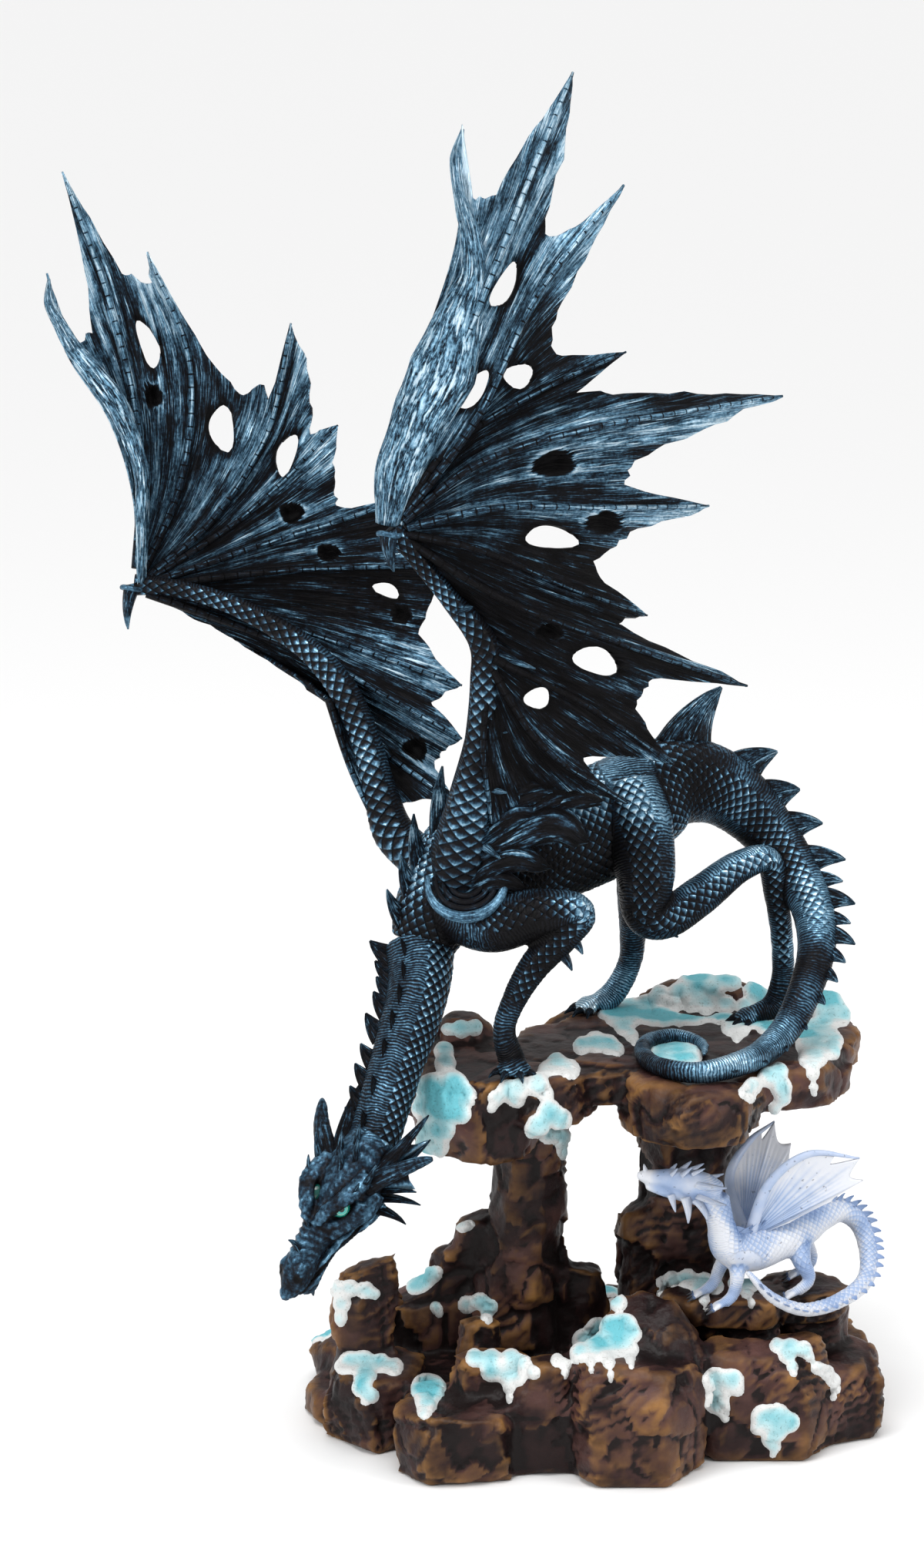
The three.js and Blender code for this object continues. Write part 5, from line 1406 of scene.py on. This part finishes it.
def rockSurface():
    # the imported plinth as one skin, split into shards, with slanting layers in places, a few
    # cracks and a grit over all; steep faces rise and fall more than level ones. Its marks are
    # how proud it stands of its near and of its wide surroundings, the wide one lowered by painted
    # shade under the slab, and a chance shade.
    look = plinthLook
    skin = oneSkin(solidOf("plinth"), look["voxel"])
    verts, quads = skin["verts"], skin["quads"]
    verts = calmed(verts, quads, 2)
    pitches, sizes = zip(*[look[name] for name in ("bent", "broad", "small", "grit", "crack")])
    bent = verts + sizes[0] * np.stack([noise(verts, pitches[0], k) for k in (3, 4, 5)], 1)
    broad, chance = shards(bent, pitches[1], 2)
    small, other = shards(bent * (1, 1, 0.7), pitches[2], 5)
    layer = verts @ unit(look["lean"]) / look["layer"] + 1.3 * roughNoise(verts, 30.0, 13, 2)
    step = layer - np.floor(layer)
    shelf = ramp(0, 0.7, step) - ramp(0.88, 1.0, step)
    layered = ramp(-0.1, 0.35, noise(verts, 46.0, 23))
    grit = roughNoise(verts, pitches[3], 9, 2)
    crack = ramp(0.05, 0.015, np.abs(noise(verts * (1, 1, 0.4), pitches[4], 17)))
    outward = outwardOf(verts, quads)
    steep = ramp(0.8, 0.45, np.abs(outward[:, 2]))
    free = ramp(0.3, 3.0, verts[:, 2])
    rise = (sizes[1] * broad + sizes[2] * small + sizes[3] * grit - sizes[4] * crack
            + (1.3 * layered + 0.15) * (shelf - 0.5) * steep)
    rise = np.clip(rise, -3.2, 2.2) * (0.45 + 0.55 * steep)
    verts = verts + outward * (rise * free)[:, None]
    verts[:, 2] = np.maximum(verts[:, 2], 0)
    skin["verts"] = verts
    skin["marks"]["proud"] = proud(verts, quads, 10)
    # painted shade: under the slab the wide mark is lowered, which darkens the stone there
    up, down, beside = look["paintedShadeUnderSlab"]
    slabShadow = ramp(*up, verts[:, 2]) * ramp(*down, verts[:, 2]) * ramp(*beside, verts[:, 0])
    skin["marks"]["wide"] = proud(verts, quads, 70) - 1.5 * slabShadow
    skin["marks"]["shade"] = 0.65 * chance + 0.35 * other + 0.25 * (shelf - 0.5) * layered * steep
    return skin


snowLook = {
    "corner": (380.0, 1240.0),  # of the enlarged view that the lobes are placed in, in pixels
    "larger": 2.01,             # how much it is enlarged
    "wider": 1.12,              # how much larger a lobe counts
    "thick": 2.4,
    "deepest": 38.0,            # how far before or behind its own stone a lobe reaches
    "melt": 4.2,                # pixels over which lobes run together
    "rim": -1.8,                # the depth, in pixels, where the snow's skin ends in the stone
    "wobble": (6.0, 1.4),       # pitch and size of its uneven outline
    "grain": (1.8, 0.16),
}
# Snow lies in rounded lobes. Each is (x, y, radius) in that enlarged view, and covers the stone
# that shows there.
snowLobes = [
    (405, 195, 14), (440, 193, 20), (475, 190, 18), (395, 250, 22), (398, 285, 24), (365, 350, 36),
    (420, 345, 36), (395, 395, 44), (345, 400, 30), (450, 370, 26), (440, 415, 22), (360, 460, 34),
    (390, 455, 30), (350, 500, 26), (378, 500, 26), (376, 540, 9), (376, 560, 5), (790, 228, 24),
    (825, 235, 22), (850, 248, 14), (755, 238, 20), (690, 285, 24), (725, 300, 22), (660, 300, 16),
    (640, 340, 26), (600, 345, 22), (560, 355, 24), (530, 375, 18), (520, 400, 10), (585, 375, 20),
    (660, 365, 18), (670, 410, 28), (700, 430, 26), (640, 445, 26), (625, 460, 16), (665, 470, 20),
    (700, 475, 22), (706, 510, 14), (706, 525, 8), (840, 155, 26), (880, 150, 34), (930, 140, 32),
    (865, 185, 22), (885, 210, 14), (895, 228, 8), (950, 160, 20), (900, 110, 18), (960, 105, 22),
    (1010, 100, 26), (1060, 90, 26), (1100, 90, 22), (1080, 130, 24), (1130, 130, 22), (1180, 135, 20),
    (1230, 130, 20), (1210, 95, 28), (1250, 92, 22), (1040, 130, 18), (1000, 125, 20), (1140, 190, 18),
    (1175, 192, 18), (1160, 212, 10), (1160, 222, 5), (960, 265, 34), (1005, 262, 36), (1040, 265, 24),
    (1000, 295, 14), (1060, 297, 12), (1090, 298, 10), (1400, 150, 30), (1430, 160, 24),
    (1385, 185, 28), (1350, 195, 24), (1370, 225, 28), (1410, 225, 24), (1335, 235, 20),
    (1345, 270, 22), (1370, 270, 22), (1410, 255, 16), (1358, 310, 16), (1360, 345, 9), (1361, 362, 5),
    (1270, 305, 20), (1240, 320, 22), (1200, 345, 20), (1180, 360, 14), (1195, 375, 10),
    (1275, 345, 24), (1280, 375, 18), (1258, 400, 14), (1262, 425, 10), (1265, 440, 5), (115, 870, 20),
    (150, 870, 20), (190, 875, 20), (215, 885, 12), (130, 910, 20), (126, 945, 14), (126, 960, 7),
    (150, 1065, 26), (185, 1060, 24), (230, 1065, 22), (265, 1075, 20), (128, 1078, 14),
    (190, 1095, 26), (180, 1130, 22), (205, 1150, 18), (190, 1165, 9), (345, 1130, 32), (370, 1130, 26),
    (350, 1165, 26), (345, 1190, 16), (342, 1203, 7), (475, 1052, 20), (520, 1055, 22), (570, 1055, 22),
    (600, 1070, 22), (630, 1090, 16), (520, 1085, 26), (560, 1095, 24), (590, 1105, 18),
    (565, 1130, 14), (567, 1155, 7), (566, 1166, 4), (455, 912, 20), (490, 905, 20), (515, 918, 18),
    (505, 942, 12), (512, 955, 6), (318, 866, 18), (332, 858, 20), (348, 848, 20), (364, 836, 18),
    (378, 826, 12), (372, 918, 11), (380, 928, 9), (384, 940, 5), (440, 714, 9), (452, 709, 10),
    (464, 704, 9), (850, 908, 20), (835, 912, 14), (765, 1010, 32), (800, 985, 34), (840, 975, 32),
    (870, 965, 26), (890, 990, 18), (750, 1040, 22), (800, 1025, 32), (850, 1015, 30), (885, 1030, 16),
    (740, 1055, 8), (778, 1065, 9), (780, 1085, 5), (826, 1065, 13), (830, 1095, 8), (830, 1112, 4),
    (882, 1055, 10), (884, 1075, 5), (690, 1058, 14), (712, 1070, 12), (713, 1090, 7), (712, 1103, 4),
    (1105, 1110, 30), (1145, 1110, 28), (1160, 1135, 16), (1110, 1150, 26), (1095, 1175, 16),
    (1120, 1180, 20), (1128, 1203, 10), (1130, 1213, 5), (1230, 1205, 28), (1265, 1205, 30),
    (1300, 1220, 22), (1215, 1235, 16), (1260, 1240, 28), (1245, 1265, 18), (1260, 1285, 13),
    (1254, 1305, 6), (1265, 1020, 16), (1300, 1025, 20), (1335, 1030, 18), (1350, 1050, 10),
    (1290, 1045, 18), (1305, 1075, 12), (1308, 1095, 6), (1370, 1078, 14), (1395, 1090, 16),
    (1412, 1110, 16), (1418, 1135, 10), (1412, 1155, 6), (990, 845, 18), (965, 855, 14), (960, 885, 8),
    (1030, 845, 22), (1075, 850, 20), (1105, 865, 18), (1060, 870, 18), (1075, 900, 12), (1078, 925, 5),
    (1160, 855, 20), (1200, 855, 20), (1185, 880, 14), (1198, 905, 7), (1197, 915, 4), (1345, 785, 20),
    (1370, 810, 18), (1400, 785, 22), (1430, 792, 14), (1340, 815, 12),
]
# on the far side, lobes are (x, y, radius) in millimetres and lie where they fall from above
farSnow = [
    (-70, 62, 13), (-52, 66, 11), (-84, 52, 9), (-60, 50, 10), (20, 60, 12), (38, 56, 14), (54, 50, 10),
    (84, 44, 12), (98, 34, 13), (108, 20, 10), (70, 52, 9), (-128, 40, 10), (-118, 50, 9),
    (-140, 28, 8), (0, 84, 10), (14, 88, 9), (110, 66, 10), (122, 56, 11), (-30, 92, 9), (-42, 88, 10),
    (60, 84, 10), (74, 80, 8),
]


def snowDepth(verts, lobes):
    # each lobe gives radius * (1 - (distance / radius)^2), counted in the picture for corners
    # about as far off as the lobe's stone, or in space for the far side; lobes melt together
    # by melt * log(sum of exp(value / melt)); in picture steps
    spot, far = seenAt(verts)
    melt = snowLook["melt"]
    total = np.full(len(verts), math.exp(-9 / melt))
    for where, pixel, radius, depth in lobes:
        if pixel is None:
            near = np.linalg.norm((verts - where) * (1, 1, 0.7), axis=1) / view["step"]
            close = near < radius * 2.2
        else:
            near = np.hypot(spot[:, 0] - pixel[0], spot[:, 1] - pixel[1])
            close = (near < radius * 2.2) & (np.abs(far - depth) < snowLook["deepest"])
        total[close] += np.exp(radius * (1 - (near[close] / radius) ** 2) / melt)
    return melt * np.log(total)


def finer(verts, quads):
    # each face cut in four, with shared corners kept shared
    count = len(verts)
    a, b = quads, np.roll(quads, -1, axis=1)
    keys = (np.minimum(a, b).astype(np.int64) * count + np.maximum(a, b)).ravel()
    edges, which = np.unique(keys, return_inverse=True)
    ends = np.stack([edges // count, edges % count], 1)
    middles = count + len(edges) + np.arange(len(quads))
    which = which.reshape(quads.shape) + count
    cut = np.concatenate([np.stack([quads[:, k], which[:, k], middles, which[:, k - 1]], 1)
                          for k in range(4)])
    return np.vstack([verts, verts[ends].mean(1), verts[quads].mean(1)]), cut


def snowSurface(rock):
    # the stone's own faces under the lobes, cut finer, raised by thick * (1 - exp(-depth / 1.4))
    # with both in millimetres, and dipped under the stone where they end
    verts, quads = rock["verts"], rock["quads"]
    tree = BVHTree.FromPolygons(verts.tolist(), quads.tolist())
    corner, larger = np.array(snowLook["corner"]), snowLook["larger"]
    lobes = []
    for x, y, radius in snowLobes:
        pixel = corner + np.array((x, y)) / larger
        hit = tree.ray_cast(Vector(viewPoint), Vector(sightLine(pixel)))[0]
        if hit is not None:
            far = seenAt(np.array([hit]))[1][0]
            lobes.append((np.array(hit), pixel, snowLook["wider"] * radius / larger + 1, far))
    for x, y, radius in farSnow:
        hit = tree.ray_cast(Vector((x, y, 400)), Vector((0, 0, -1)))[0]
        if hit is not None:
            lobes.append((np.array(hit), None, radius / view["step"], 0.0))
    outward = outwardOf(verts, quads)
    toward = unit(viewPoint - verts)
    faced = np.einsum("ij,ij->i", outward, toward) > -0.25
    depth = np.where(faced | (outward[:, 2] > 0.3), snowDepth(verts, lobes), -9)
    kept = quads[depth[quads].max(axis=1) > snowLook["rim"]]
    used, which = np.unique(kept, return_inverse=True)
    kept = which.reshape(kept.shape)
    both, kept = finer(np.hstack([verts[used], outward[used]]), kept)
    verts, outward = both[:, :3], unit(both[:, 3:] + (0, 0, 0.35))
    (wobblePitch, wobble), (grainPitch, grain) = snowLook["wobble"], snowLook["grain"]
    depth = snowDepth(verts, lobes) + wobble * roughNoise(verts, wobblePitch, 31, 3)
    pixel = view["step"]
    raised = snowLook["thick"] * (1 - np.exp(-np.maximum(depth, 0) * pixel / 1.4))
    rise = np.maximum(np.where(depth > 0, raised, depth * 0.6), -1.0)
    rise = rise + grain * roughNoise(verts, grainPitch, 33, 2) - 0.35
    top = verts + outward * rise[:, None]
    low = verts - outward * 1.6
    deepest = calmed(np.maximum(depth, 0), kept, 6)
    return twoSided(top, low, kept, tone=deepest * pixel)


stoneColours = {
    # place, red, green, blue
    "stone": [(0.3, 0.005, 0.003, 0.0032), (0.48, 0.022, 0.01, 0.0098), (0.66, 0.095, 0.045, 0.038)],
    "ochre": [(0.35, 0.08, 0.037, 0.017), (0.65, 0.3, 0.148, 0.045)],
    "hollow": (0.008, 0.005, 0.005, 1),
    # shares of the near and the wide mark
    "ochreBy": (0.55, 0.09),
    "hollowBy": (-2.1, -0.24),
    "roughness": (0.3, 0.52),
}


def stoneMaterial():
    # brown and purple-brown stone: ochre along the edges that stand proud and in patches,
    # black in the hollows and, through the wide mark, painted shade under the slab, and a satin varnish
    material, tree, shader = newMaterial("stonePaint")
    look = stoneColours
    cloud = speckle(tree, 24, 5)
    blend = mathNode(tree, "ADD", scaled(tree, cloud, 0.74), scaled(tree, markOf(tree, "shade"), 0.26))
    marks = [markOf(tree, name) for name in ("proud", "wide")]
    near, wide = [scaled(tree, mark, size) for mark, size in zip(marks, look["ochreBy"])]
    patch = scaled(tree, speckle(tree, 26, 4), 2.6, 0.6)
    ochreShare = mathNode(tree, "ADD", mathNode(tree, "ADD", near, wide), patch, clamp=True)
    ochre = colourRamp(tree, speckle(tree, 60, 4), look["ochre"])
    colour = blended(tree, scaled(tree, ochreShare, 0.8), colourRamp(tree, blend, look["stone"]), ochre)
    near, wide = [scaled(tree, mark, size) for mark, size in zip(marks, look["hollowBy"])]
    hollow = mathNode(tree, "ADD", near, wide, clamp=True)
    colour = blended(tree, scaled(tree, hollow, 0.93), colour, look["hollow"])
    tree.links.new(colour, shader.inputs["Base Color"])
    low, high = look["roughness"]
    gloss = newNode(tree, "ShaderNodeMapRange", To_Min=low, To_Max=high)
    tree.links.new(cloud, gloss.inputs["Value"])
    tree.links.new(gloss.outputs[0], shader.inputs["Roughness"])
    shader.inputs["Specular IOR Level"].default_value = 0.16
    bumped(tree, shader, speckle(tree, 260, 6), 0.5, 0.0012)
    return material


snowColours = {
    "depth": [(0.25, 0.68, 0.69, 0.68), (0.55, 0.44, 0.66, 0.69), (1.0, 0.12, 0.46, 0.53)],
    "specks": [(0.3, 0.45, 0.42, 0.4), (0.42, 1, 1, 1)],
}


def snowMaterial():
    # white rims and tongues, turquoise where it lies deep, with dark specks in the grain
    material, tree, shader = newMaterial("snowPaint")
    deep = scaled(tree, markOf(tree, "tone"), 0.16)
    deep = mathNode(tree, "ADD", deep, scaled(tree, speckle(tree, 45, 3), 1.8, 0.55), clamp=True)
    tint = colourRamp(tree, deep, snowColours["depth"])
    grain = speckle(tree, 900, 4)
    specks = colourRamp(tree, grain, snowColours["specks"])
    tree.links.new(blended(tree, 0.6, tint, specks, "MULTIPLY"), shader.inputs["Base Color"])
    shader.inputs["Roughness"].default_value = 0.6
    bumped(tree, shader, grain, 0.45, 0.0008)
    return material


# Hatchling
hatchlingSpine = [
    (61, -47, 123, 7, 7.5), (64, -47, 110, 6.5, 7.5), (68, -45, 98, 9, 10.5), (78, -40, 95, 11, 12.5),
    (91, -32, 97, 10.5, 12), (104, -22, 100, 10, 11.5), (115, -14, 103, 7.5, 8.5),
    (126, -7, 103, 5.8, 6.4), (135, -6, 96, 5, 5.4), (139, -13, 84, 4.6, 4.9), (136, -28, 74, 4.2, 4.3),
    (121, -43, 68.5, 3.8, 3.8), (104, -54, 68.5, 3.4, 3.4), (88, -60, 77, 2.8, 2.8),
    (76, -60, 90, 1.5, 1.5),
]
hatchlingLegs = [
    [(72, -44, 92, 5, 5), (72, -52, 84, 3.6, 3.6), (70, -54, 76, 3, 3), (66, -57, 73, 3, 2.4)],
    [(74, -32, 92, 5, 5), (66, -32, 84, 3.6, 3.6), (62, -36, 76, 3, 3), (58, -39, 73, 3, 2.4)],
    [(104, -26, 98, 6, 6), (104, -36, 88, 5, 5), (108, -38, 78, 3, 3), (102, -41, 73, 3, 2.4)],
    [(104, -14, 96, 6, 6), (108, -6, 86, 5, 5), (112, -8, 78, 3, 3), (106, -12, 73, 3, 2.4)],
]
hatchlingWings = [
    {"root": (78, -42, 101),
     "fingers": [(88, -45, 130), (106, -43, 143), (131, -37, 139), (133, -37, 128), (118, -38, 118),
                 (98, -40, 108)]},
    {"root": (76, -33, 101),
     "fingers": [(70, -20, 124), (80, -8, 138), (93, 0, 146), (101, -4, 136), (104, -10, 126),
                 (96, -18, 112)]},
]
hatchlingHead = [
    (62, -46, 123, 6.4, 7), (56, -46, 127, 6.6, 7.4), (48, -46, 130, 6.4, 6.6),
    (40, -46, 131.5, 4.8, 5.2), (33, -46, 132, 3.8, 4.2), (27, -46, 133, 3, 3.4),
    (23.5, -46, 133.4, 1.4, 1.8),
]
hatchlingJaw = [
    (56, -46, 121, 4.4, 3.6), (46, -46, 123.5, 4.2, 3.2), (36, -46, 125.6, 3, 2.6),
    (28, -46, 128, 2, 1.8),
]
# on each side of its head: root and tip as (x, off the middle, z), radius, bend and look
hatchlingThorns = [
    ((52, 4, 130), (66, 11, 130.5), 2.4, (0, 0, -2), {"flat": 0.9, "paint": 0.3}),
    ((53, 5, 125), (66, 11, 122), 3.2, (0, -1, -3), {"flat": 0.4, "paint": 0.25}),
    ((52, 5, 123), (57, 10, 114), 3.2, (3, 0, 0), {"flat": 0.4, "paint": 0.25}),
    ((47, 5, 124), (48, 8.5, 112), 3, (2, 0, 0), {"flat": 0.4, "paint": 0.2}),
    ((40, 4, 125), (42, 6.5, 117), 2.2, (0, 0, 0), {"flat": 0.4, "paint": 0.2}),
    ((45, 3.4, 134.4), (50, 4.6, 139), 1.6, (0, 0, 0), {"paint": 0.3}),
    ((40, 3, 134.4), (43, 3.6, 138), 1.3, (0, 0, 0), {"paint": 0.3}),
    ((50, 3, 135), (56, 4, 138), 1.5, (0, 0, 0), {"paint": 0.3}),
]
hatchlingLook = {
    "voxel": 1.0,
    "cell": 3.4,      # length of a scale
    "middle": -46,    # the head's middle plane, in y
    "blue": 0.14,     # shadow paint where nothing else adds or takes away
}


def hatchlingWing(wing):
    # a fan of skin from the shoulder to the fingertips, ribbed at each finger and scooped
    # between, and the bone along its first edge
    root = np.array(wing["root"], float)
    tips = np.array(wing["fingers"], float)
    across = np.linspace(0, len(tips) - 1, 61)
    edge = straight(tips, across)
    scoop = 1 - 0.1 * np.abs(np.sin(math.pi * across)) * (across > 1.5)
    share = np.linspace(0.04, 1, 30)[:, None]
    at = root + (edge - root)[None] * (share * scoop[None])[..., None]
    fine = np.cos(across * turn * 4)[None]
    rib = 0.9 * (1 - np.abs(np.sin(math.pi * across)) ** 0.5)[None] + 0.35 * fine
    rise = rib * np.clip(share * 1.6, 0, 1) * (1.15 - share)
    front = (at + (0, -0.9, 0) - np.array((0, 1, 0)) * rise[..., None]).reshape(-1, 3)
    back = (at + (0, 0.9, 0)).reshape(-1, 3)
    quads = turnedTo(wingFront, front, sheetGrid(30, 61))
    blue = (0.75 - 0.75 * share + 0.35 * fine * (1 - share)).ravel()
    skin = twoSided(front, back, quads, paint=np.clip(blue, 0, 1))
    bone = [(*root, 3.2, 3.2), (*tips[0], 2.4, 2.4), (*tips[1], 1.8, 1.8), (*tips[2], 0.5, 0.5)]
    return [skin, tube(layPath(bone, 10, (0, -1, 0)), 12, paint=0.35)]


def smallToes(leg):
    # three toes in front of a paw and a claw on each; returns both
    x, y, z = leg[-1][:3]
    fleshy, claws = [], []
    for spread in (-1, 0, 1):
        rows = [(x, y, z, 2, 2), (x - 4, y - 2 + 2.6 * spread, z - 0.6, 1.7, 1.6),
                (x - 6.5, y - 3.4 + 3.8 * spread, z - 1.8, 1.2, 1.0)]
        fleshy.append(tube(layPath(rows, 5), 10))
        root, tip = (x - 6, y - 3.2 + 3.7 * spread, z - 1.2), (x - 9.5, y - 4.6 + 4.8 * spread, z - 2.6)
        claws.append(thorn(root, tip, 0.9, paint=1.6, sides=8, rings=4))
    return fleshy, claws


def hatchlingSkin(fleshy):
    # one skin over spine, head, jaw, legs and toes: scales over the back, and blue on the
    # back, the crown of the head, the tail's end and in the hollows
    look = hatchlingLook
    spine = layPath(hatchlingSpine, 10, (0, -1, 0))
    soft = [tube(spine, 24), tube(layPath(hatchlingHead, 8), 20), tube(layPath(hatchlingJaw, 8), 16)]
    soft += [tube(layPath(leg, 8, (0, 1, 0.2)), 14) for leg in hatchlingLegs] + fleshy
    skin = oneSkin(joined(soft), look["voxel"])
    skin["verts"] = calmed(skin["verts"], skin["quads"], 4)
    verts, quads = skin["verts"], skin["quads"]
    marks = pathMarks(spine, verts, (0, 0, 1), look["cell"], 1.9, (12.0, 14.0))
    outwards = [(0, -1, 0)] * len(hatchlingLegs)
    marks, best = nearestMarks(marks, hatchlingLegs, verts, outwards, look["cell"], 0.8, (12.0, 6.0))
    away = ramp(1.6, 1.2, best)
    for name in ("scaly", "ribbed"):
        marks[name] = marks[name] * away
    rise = 0.45 * relieved(marks)
    grain = roughNoise(verts, 1.6, 51, 2)
    form = proud(verts, quads, 14)
    back = ramp(1.9, 0.6, np.abs(marks["angle"])) * away
    cloud = roughNoise(verts, 12, 53, 2)
    tip = ramp(185, 250, marks["along"] * look["cell"])
    crown = ramp(0.4, 0.9, verts[:, 2] / 133) * ramp(64, 56, verts[:, 0]) * ramp(26, 36, verts[:, 0])
    blue = 0.42 * back + 0.3 * cloud - 0.35 * form + 0.25 * tip + 0.4 * crown
    skin["verts"] = verts + outwardOf(verts, quads) * (rise + 0.08 * grain)[:, None]
    skin["marks"] = {name: marks[name] for name in ("along", "around", "scaly", "ribbed")}
    skin["marks"]["paint"] = np.clip(blue + look["blue"], 0, 1)
    return skin


def hatchling():
    # its skin, wings, the thorns on its head, blades along its back, and claws
    fleshy, claws = zip(*[smallToes(leg) for leg in hatchlingLegs])
    made = [hatchlingSkin(sum(fleshy, []))]
    for wing in hatchlingWings:
        made += hatchlingWing(wing)
    middle = hatchlingLook["middle"]
    for side in (1, -1):
        for root, tip, radius, bend, look in hatchlingThorns:
            root, tip = [(x, middle - off * side, z) for x, off, z in (root, tip)]
            made.append(thorn(root, tip, radius, mirrored([bend], side)[0], **look))
    made.append(thorn((28, middle, 135), (27, middle, 139), 1.5, paint=0.1))
    made += blades(hatchlingSpine, evenBlades(0.1, 0.96, 44, 3.4, 3.6, 0.6), up=(0, -1, 0), turned=1.57,
                   paint=0.75)
    return joined(made + sum(claws, []))


hatchlingColours = {
    "shadow": [(0.05, 0.66, 0.68, 0.73), (0.28, 0.32, 0.42, 0.62), (0.58, 0.12, 0.21, 0.42),
               (0.75, 0.02, 0.02, 0.025)],
    "specks": [(0.27, 0.25, 0.25, 0.28), (0.33, 1, 1, 1)],
}


def hatchlingMaterial():
    # white, with soft blue in the shadows and over the back, and near-black claws
    material, tree, shader = newMaterial("hatchlingPaint")
    shape = newNode(tree, "ShaderNodeGroup", node_tree=relief)
    mark = mathNode(tree, "ADD", markOf(tree, "paint"), scaled(tree, speckle(tree, 160, 3), 0.35, 0.5))
    mark = mathNode(tree, "SUBTRACT", mark, scaled(tree, shape.outputs["Paint"], 0.6))
    tint = colourRamp(tree, scaled(tree, mark, 0.6, clamp=True), hatchlingColours["shadow"])
    specks = colourRamp(tree, speckle(tree, 420, 2), hatchlingColours["specks"])
    tree.links.new(blended(tree, 0.7, tint, specks, "MULTIPLY"), shader.inputs["Base Color"])
    shader.inputs["Roughness"].default_value = 0.4
    bumped(tree, shader, shape.outputs["Height"], 0.5, 0.0008)
    return material


# from the gaze outward: a dark pupil, a pale ring, then teal
eyeColours = [
    (0.0, 0.004, 0.006, 0.008), (0.2, 0.004, 0.01, 0.012), (0.25, 0.06, 0.5, 0.45),
    (0.42, 0.05, 0.32, 0.28), (0.47, 0.3, 0.6, 0.5), (0.55, 0.01, 0.2, 0.15), (1.0, 0.003, 0.06, 0.05),
]


def eyeMaterial():
    # glossy, in rings round the gaze that waver a little
    material, tree, shader = newMaterial("eyePaint")
    mark = mathNode(tree, "ADD", markOf(tree, "paint"), scaled(tree, speckle(tree, 800, 2), 0.06, 0.5))
    tree.links.new(colourRamp(tree, mark, eyeColours), shader.inputs["Base Color"])
    shader.inputs["Roughness"].default_value = 0.12
    return material


# The view and the light
studioLook = {
    "sky": 0.55,
    "floor": 0.88,
    "reach": 900,     # of the floor, in metres to each side
    # name, kind, place in metres, power, and the disk's size or the sun's width in degrees
    "lights": [("sky", "SUN", (-0.1, -0.3, 3), 1.6, 60), ("left", "AREA", (-1.5, -1.3, 1.0), 16, 0.7),
               ("right", "AREA", (1.6, -0.9, 0.9), 10, 0.6), ("top", "AREA", (-0.2, -0.6, 1.7), 8, 0.8)],
    "aim": (-0.05, 0, 0.3),
}


def aimed(thing, spot):
    # turned so that it looks from where it is to the spot
    thing.rotation_euler = (Vector(spot) - thing.location).to_track_quat("-Z", "Y").to_euler()


def camera():
    # a long lens: the frame is so many rows of the given step high at the target
    data = bpy.data.cameras.new("camera")
    data.sensor_width = 36
    data.lens = 36 * view["distance"] / (view["rows"] * view["step"])
    made = bpy.data.objects.new("camera", data)
    made.location = Vector(viewPoint * mm)
    aimed(made, Vector(view["target"]) * mm)
    bpy.context.scene.collection.objects.link(made)
    bpy.context.scene.camera = made


def light(name, kind, at, power, wide):
    # a soft disk, or a sun that covers a wide angle of the sky, pointed at the statue
    data = bpy.data.lights.new(name, kind)
    data.energy = power
    if kind == "AREA":
        data.shape = "DISK"
        data.size = wide
    else:
        data.angle = math.radians(wide)
    made = bpy.data.objects.new(name, data)
    made.location = at
    aimed(made, studioLook["aim"])
    bpy.context.scene.collection.objects.link(made)


def studio():
    # a pale floor as far as the lens sees, pale air, an even sky overhead and three soft lights
    world = bpy.data.worlds.new("air")
    bpy.context.scene.world = world
    world.use_nodes = True
    world.node_tree.nodes["Background"].inputs["Color"].default_value = (1, 1, 1, 1)
    world.node_tree.nodes["Background"].inputs["Strength"].default_value = studioLook["sky"]
    bpy.context.scene.view_settings.view_transform = "Standard"
    for row in studioLook["lights"]:
        light(*row)
    span = np.linspace(-studioLook["reach"], studioLook["reach"], 3)
    grid = np.stack(np.meshgrid(span, span, indexing="ij"), -1).reshape(-1, 2) / mm
    floor = part(np.c_[grid, np.full(len(grid), -0.4)], sheetGrid(3, 3)[:, ::-1])
    made = bpy.data.objects.new("floor", meshOf("floor", floor))
    bpy.context.scene.collection.objects.link(made)
    paper, _, shader = newMaterial("paper")
    shader.inputs["Base Color"].default_value = (*[studioLook["floor"]] * 3, 1)
    shader.inputs["Roughness"].default_value = 0.9
    made.data.materials.append(paper)


# Building
camera()
studio()
place("leftWing", wingSurface(leftWing, 11), "dragon_paint", dragonPaint, "left_wing")
place("rightWing", wingSurface(rightWing, 41), "dragon_paint", dragonPaint, "right_wing")
place("dragonBody", dragonBody(), "dragon_paint", dragonPaint, "dragon_body")
place("headAndNeck", headAndNeck(), "dragon_paint", dragonPaint, "head_neck")
place("dragonEyes", eyes(), "eye_paint", eyeMaterial())
rock = rockSurface()
place("rockPlinth", rock, "rock_paint", stoneMaterial(), "plinth")
place("snow", snowSurface(rock), "snow_paint", snowMaterial())
place("hatchlingSkin", hatchling(), "hatchling_paint", hatchlingMaterial(), "hatchling")
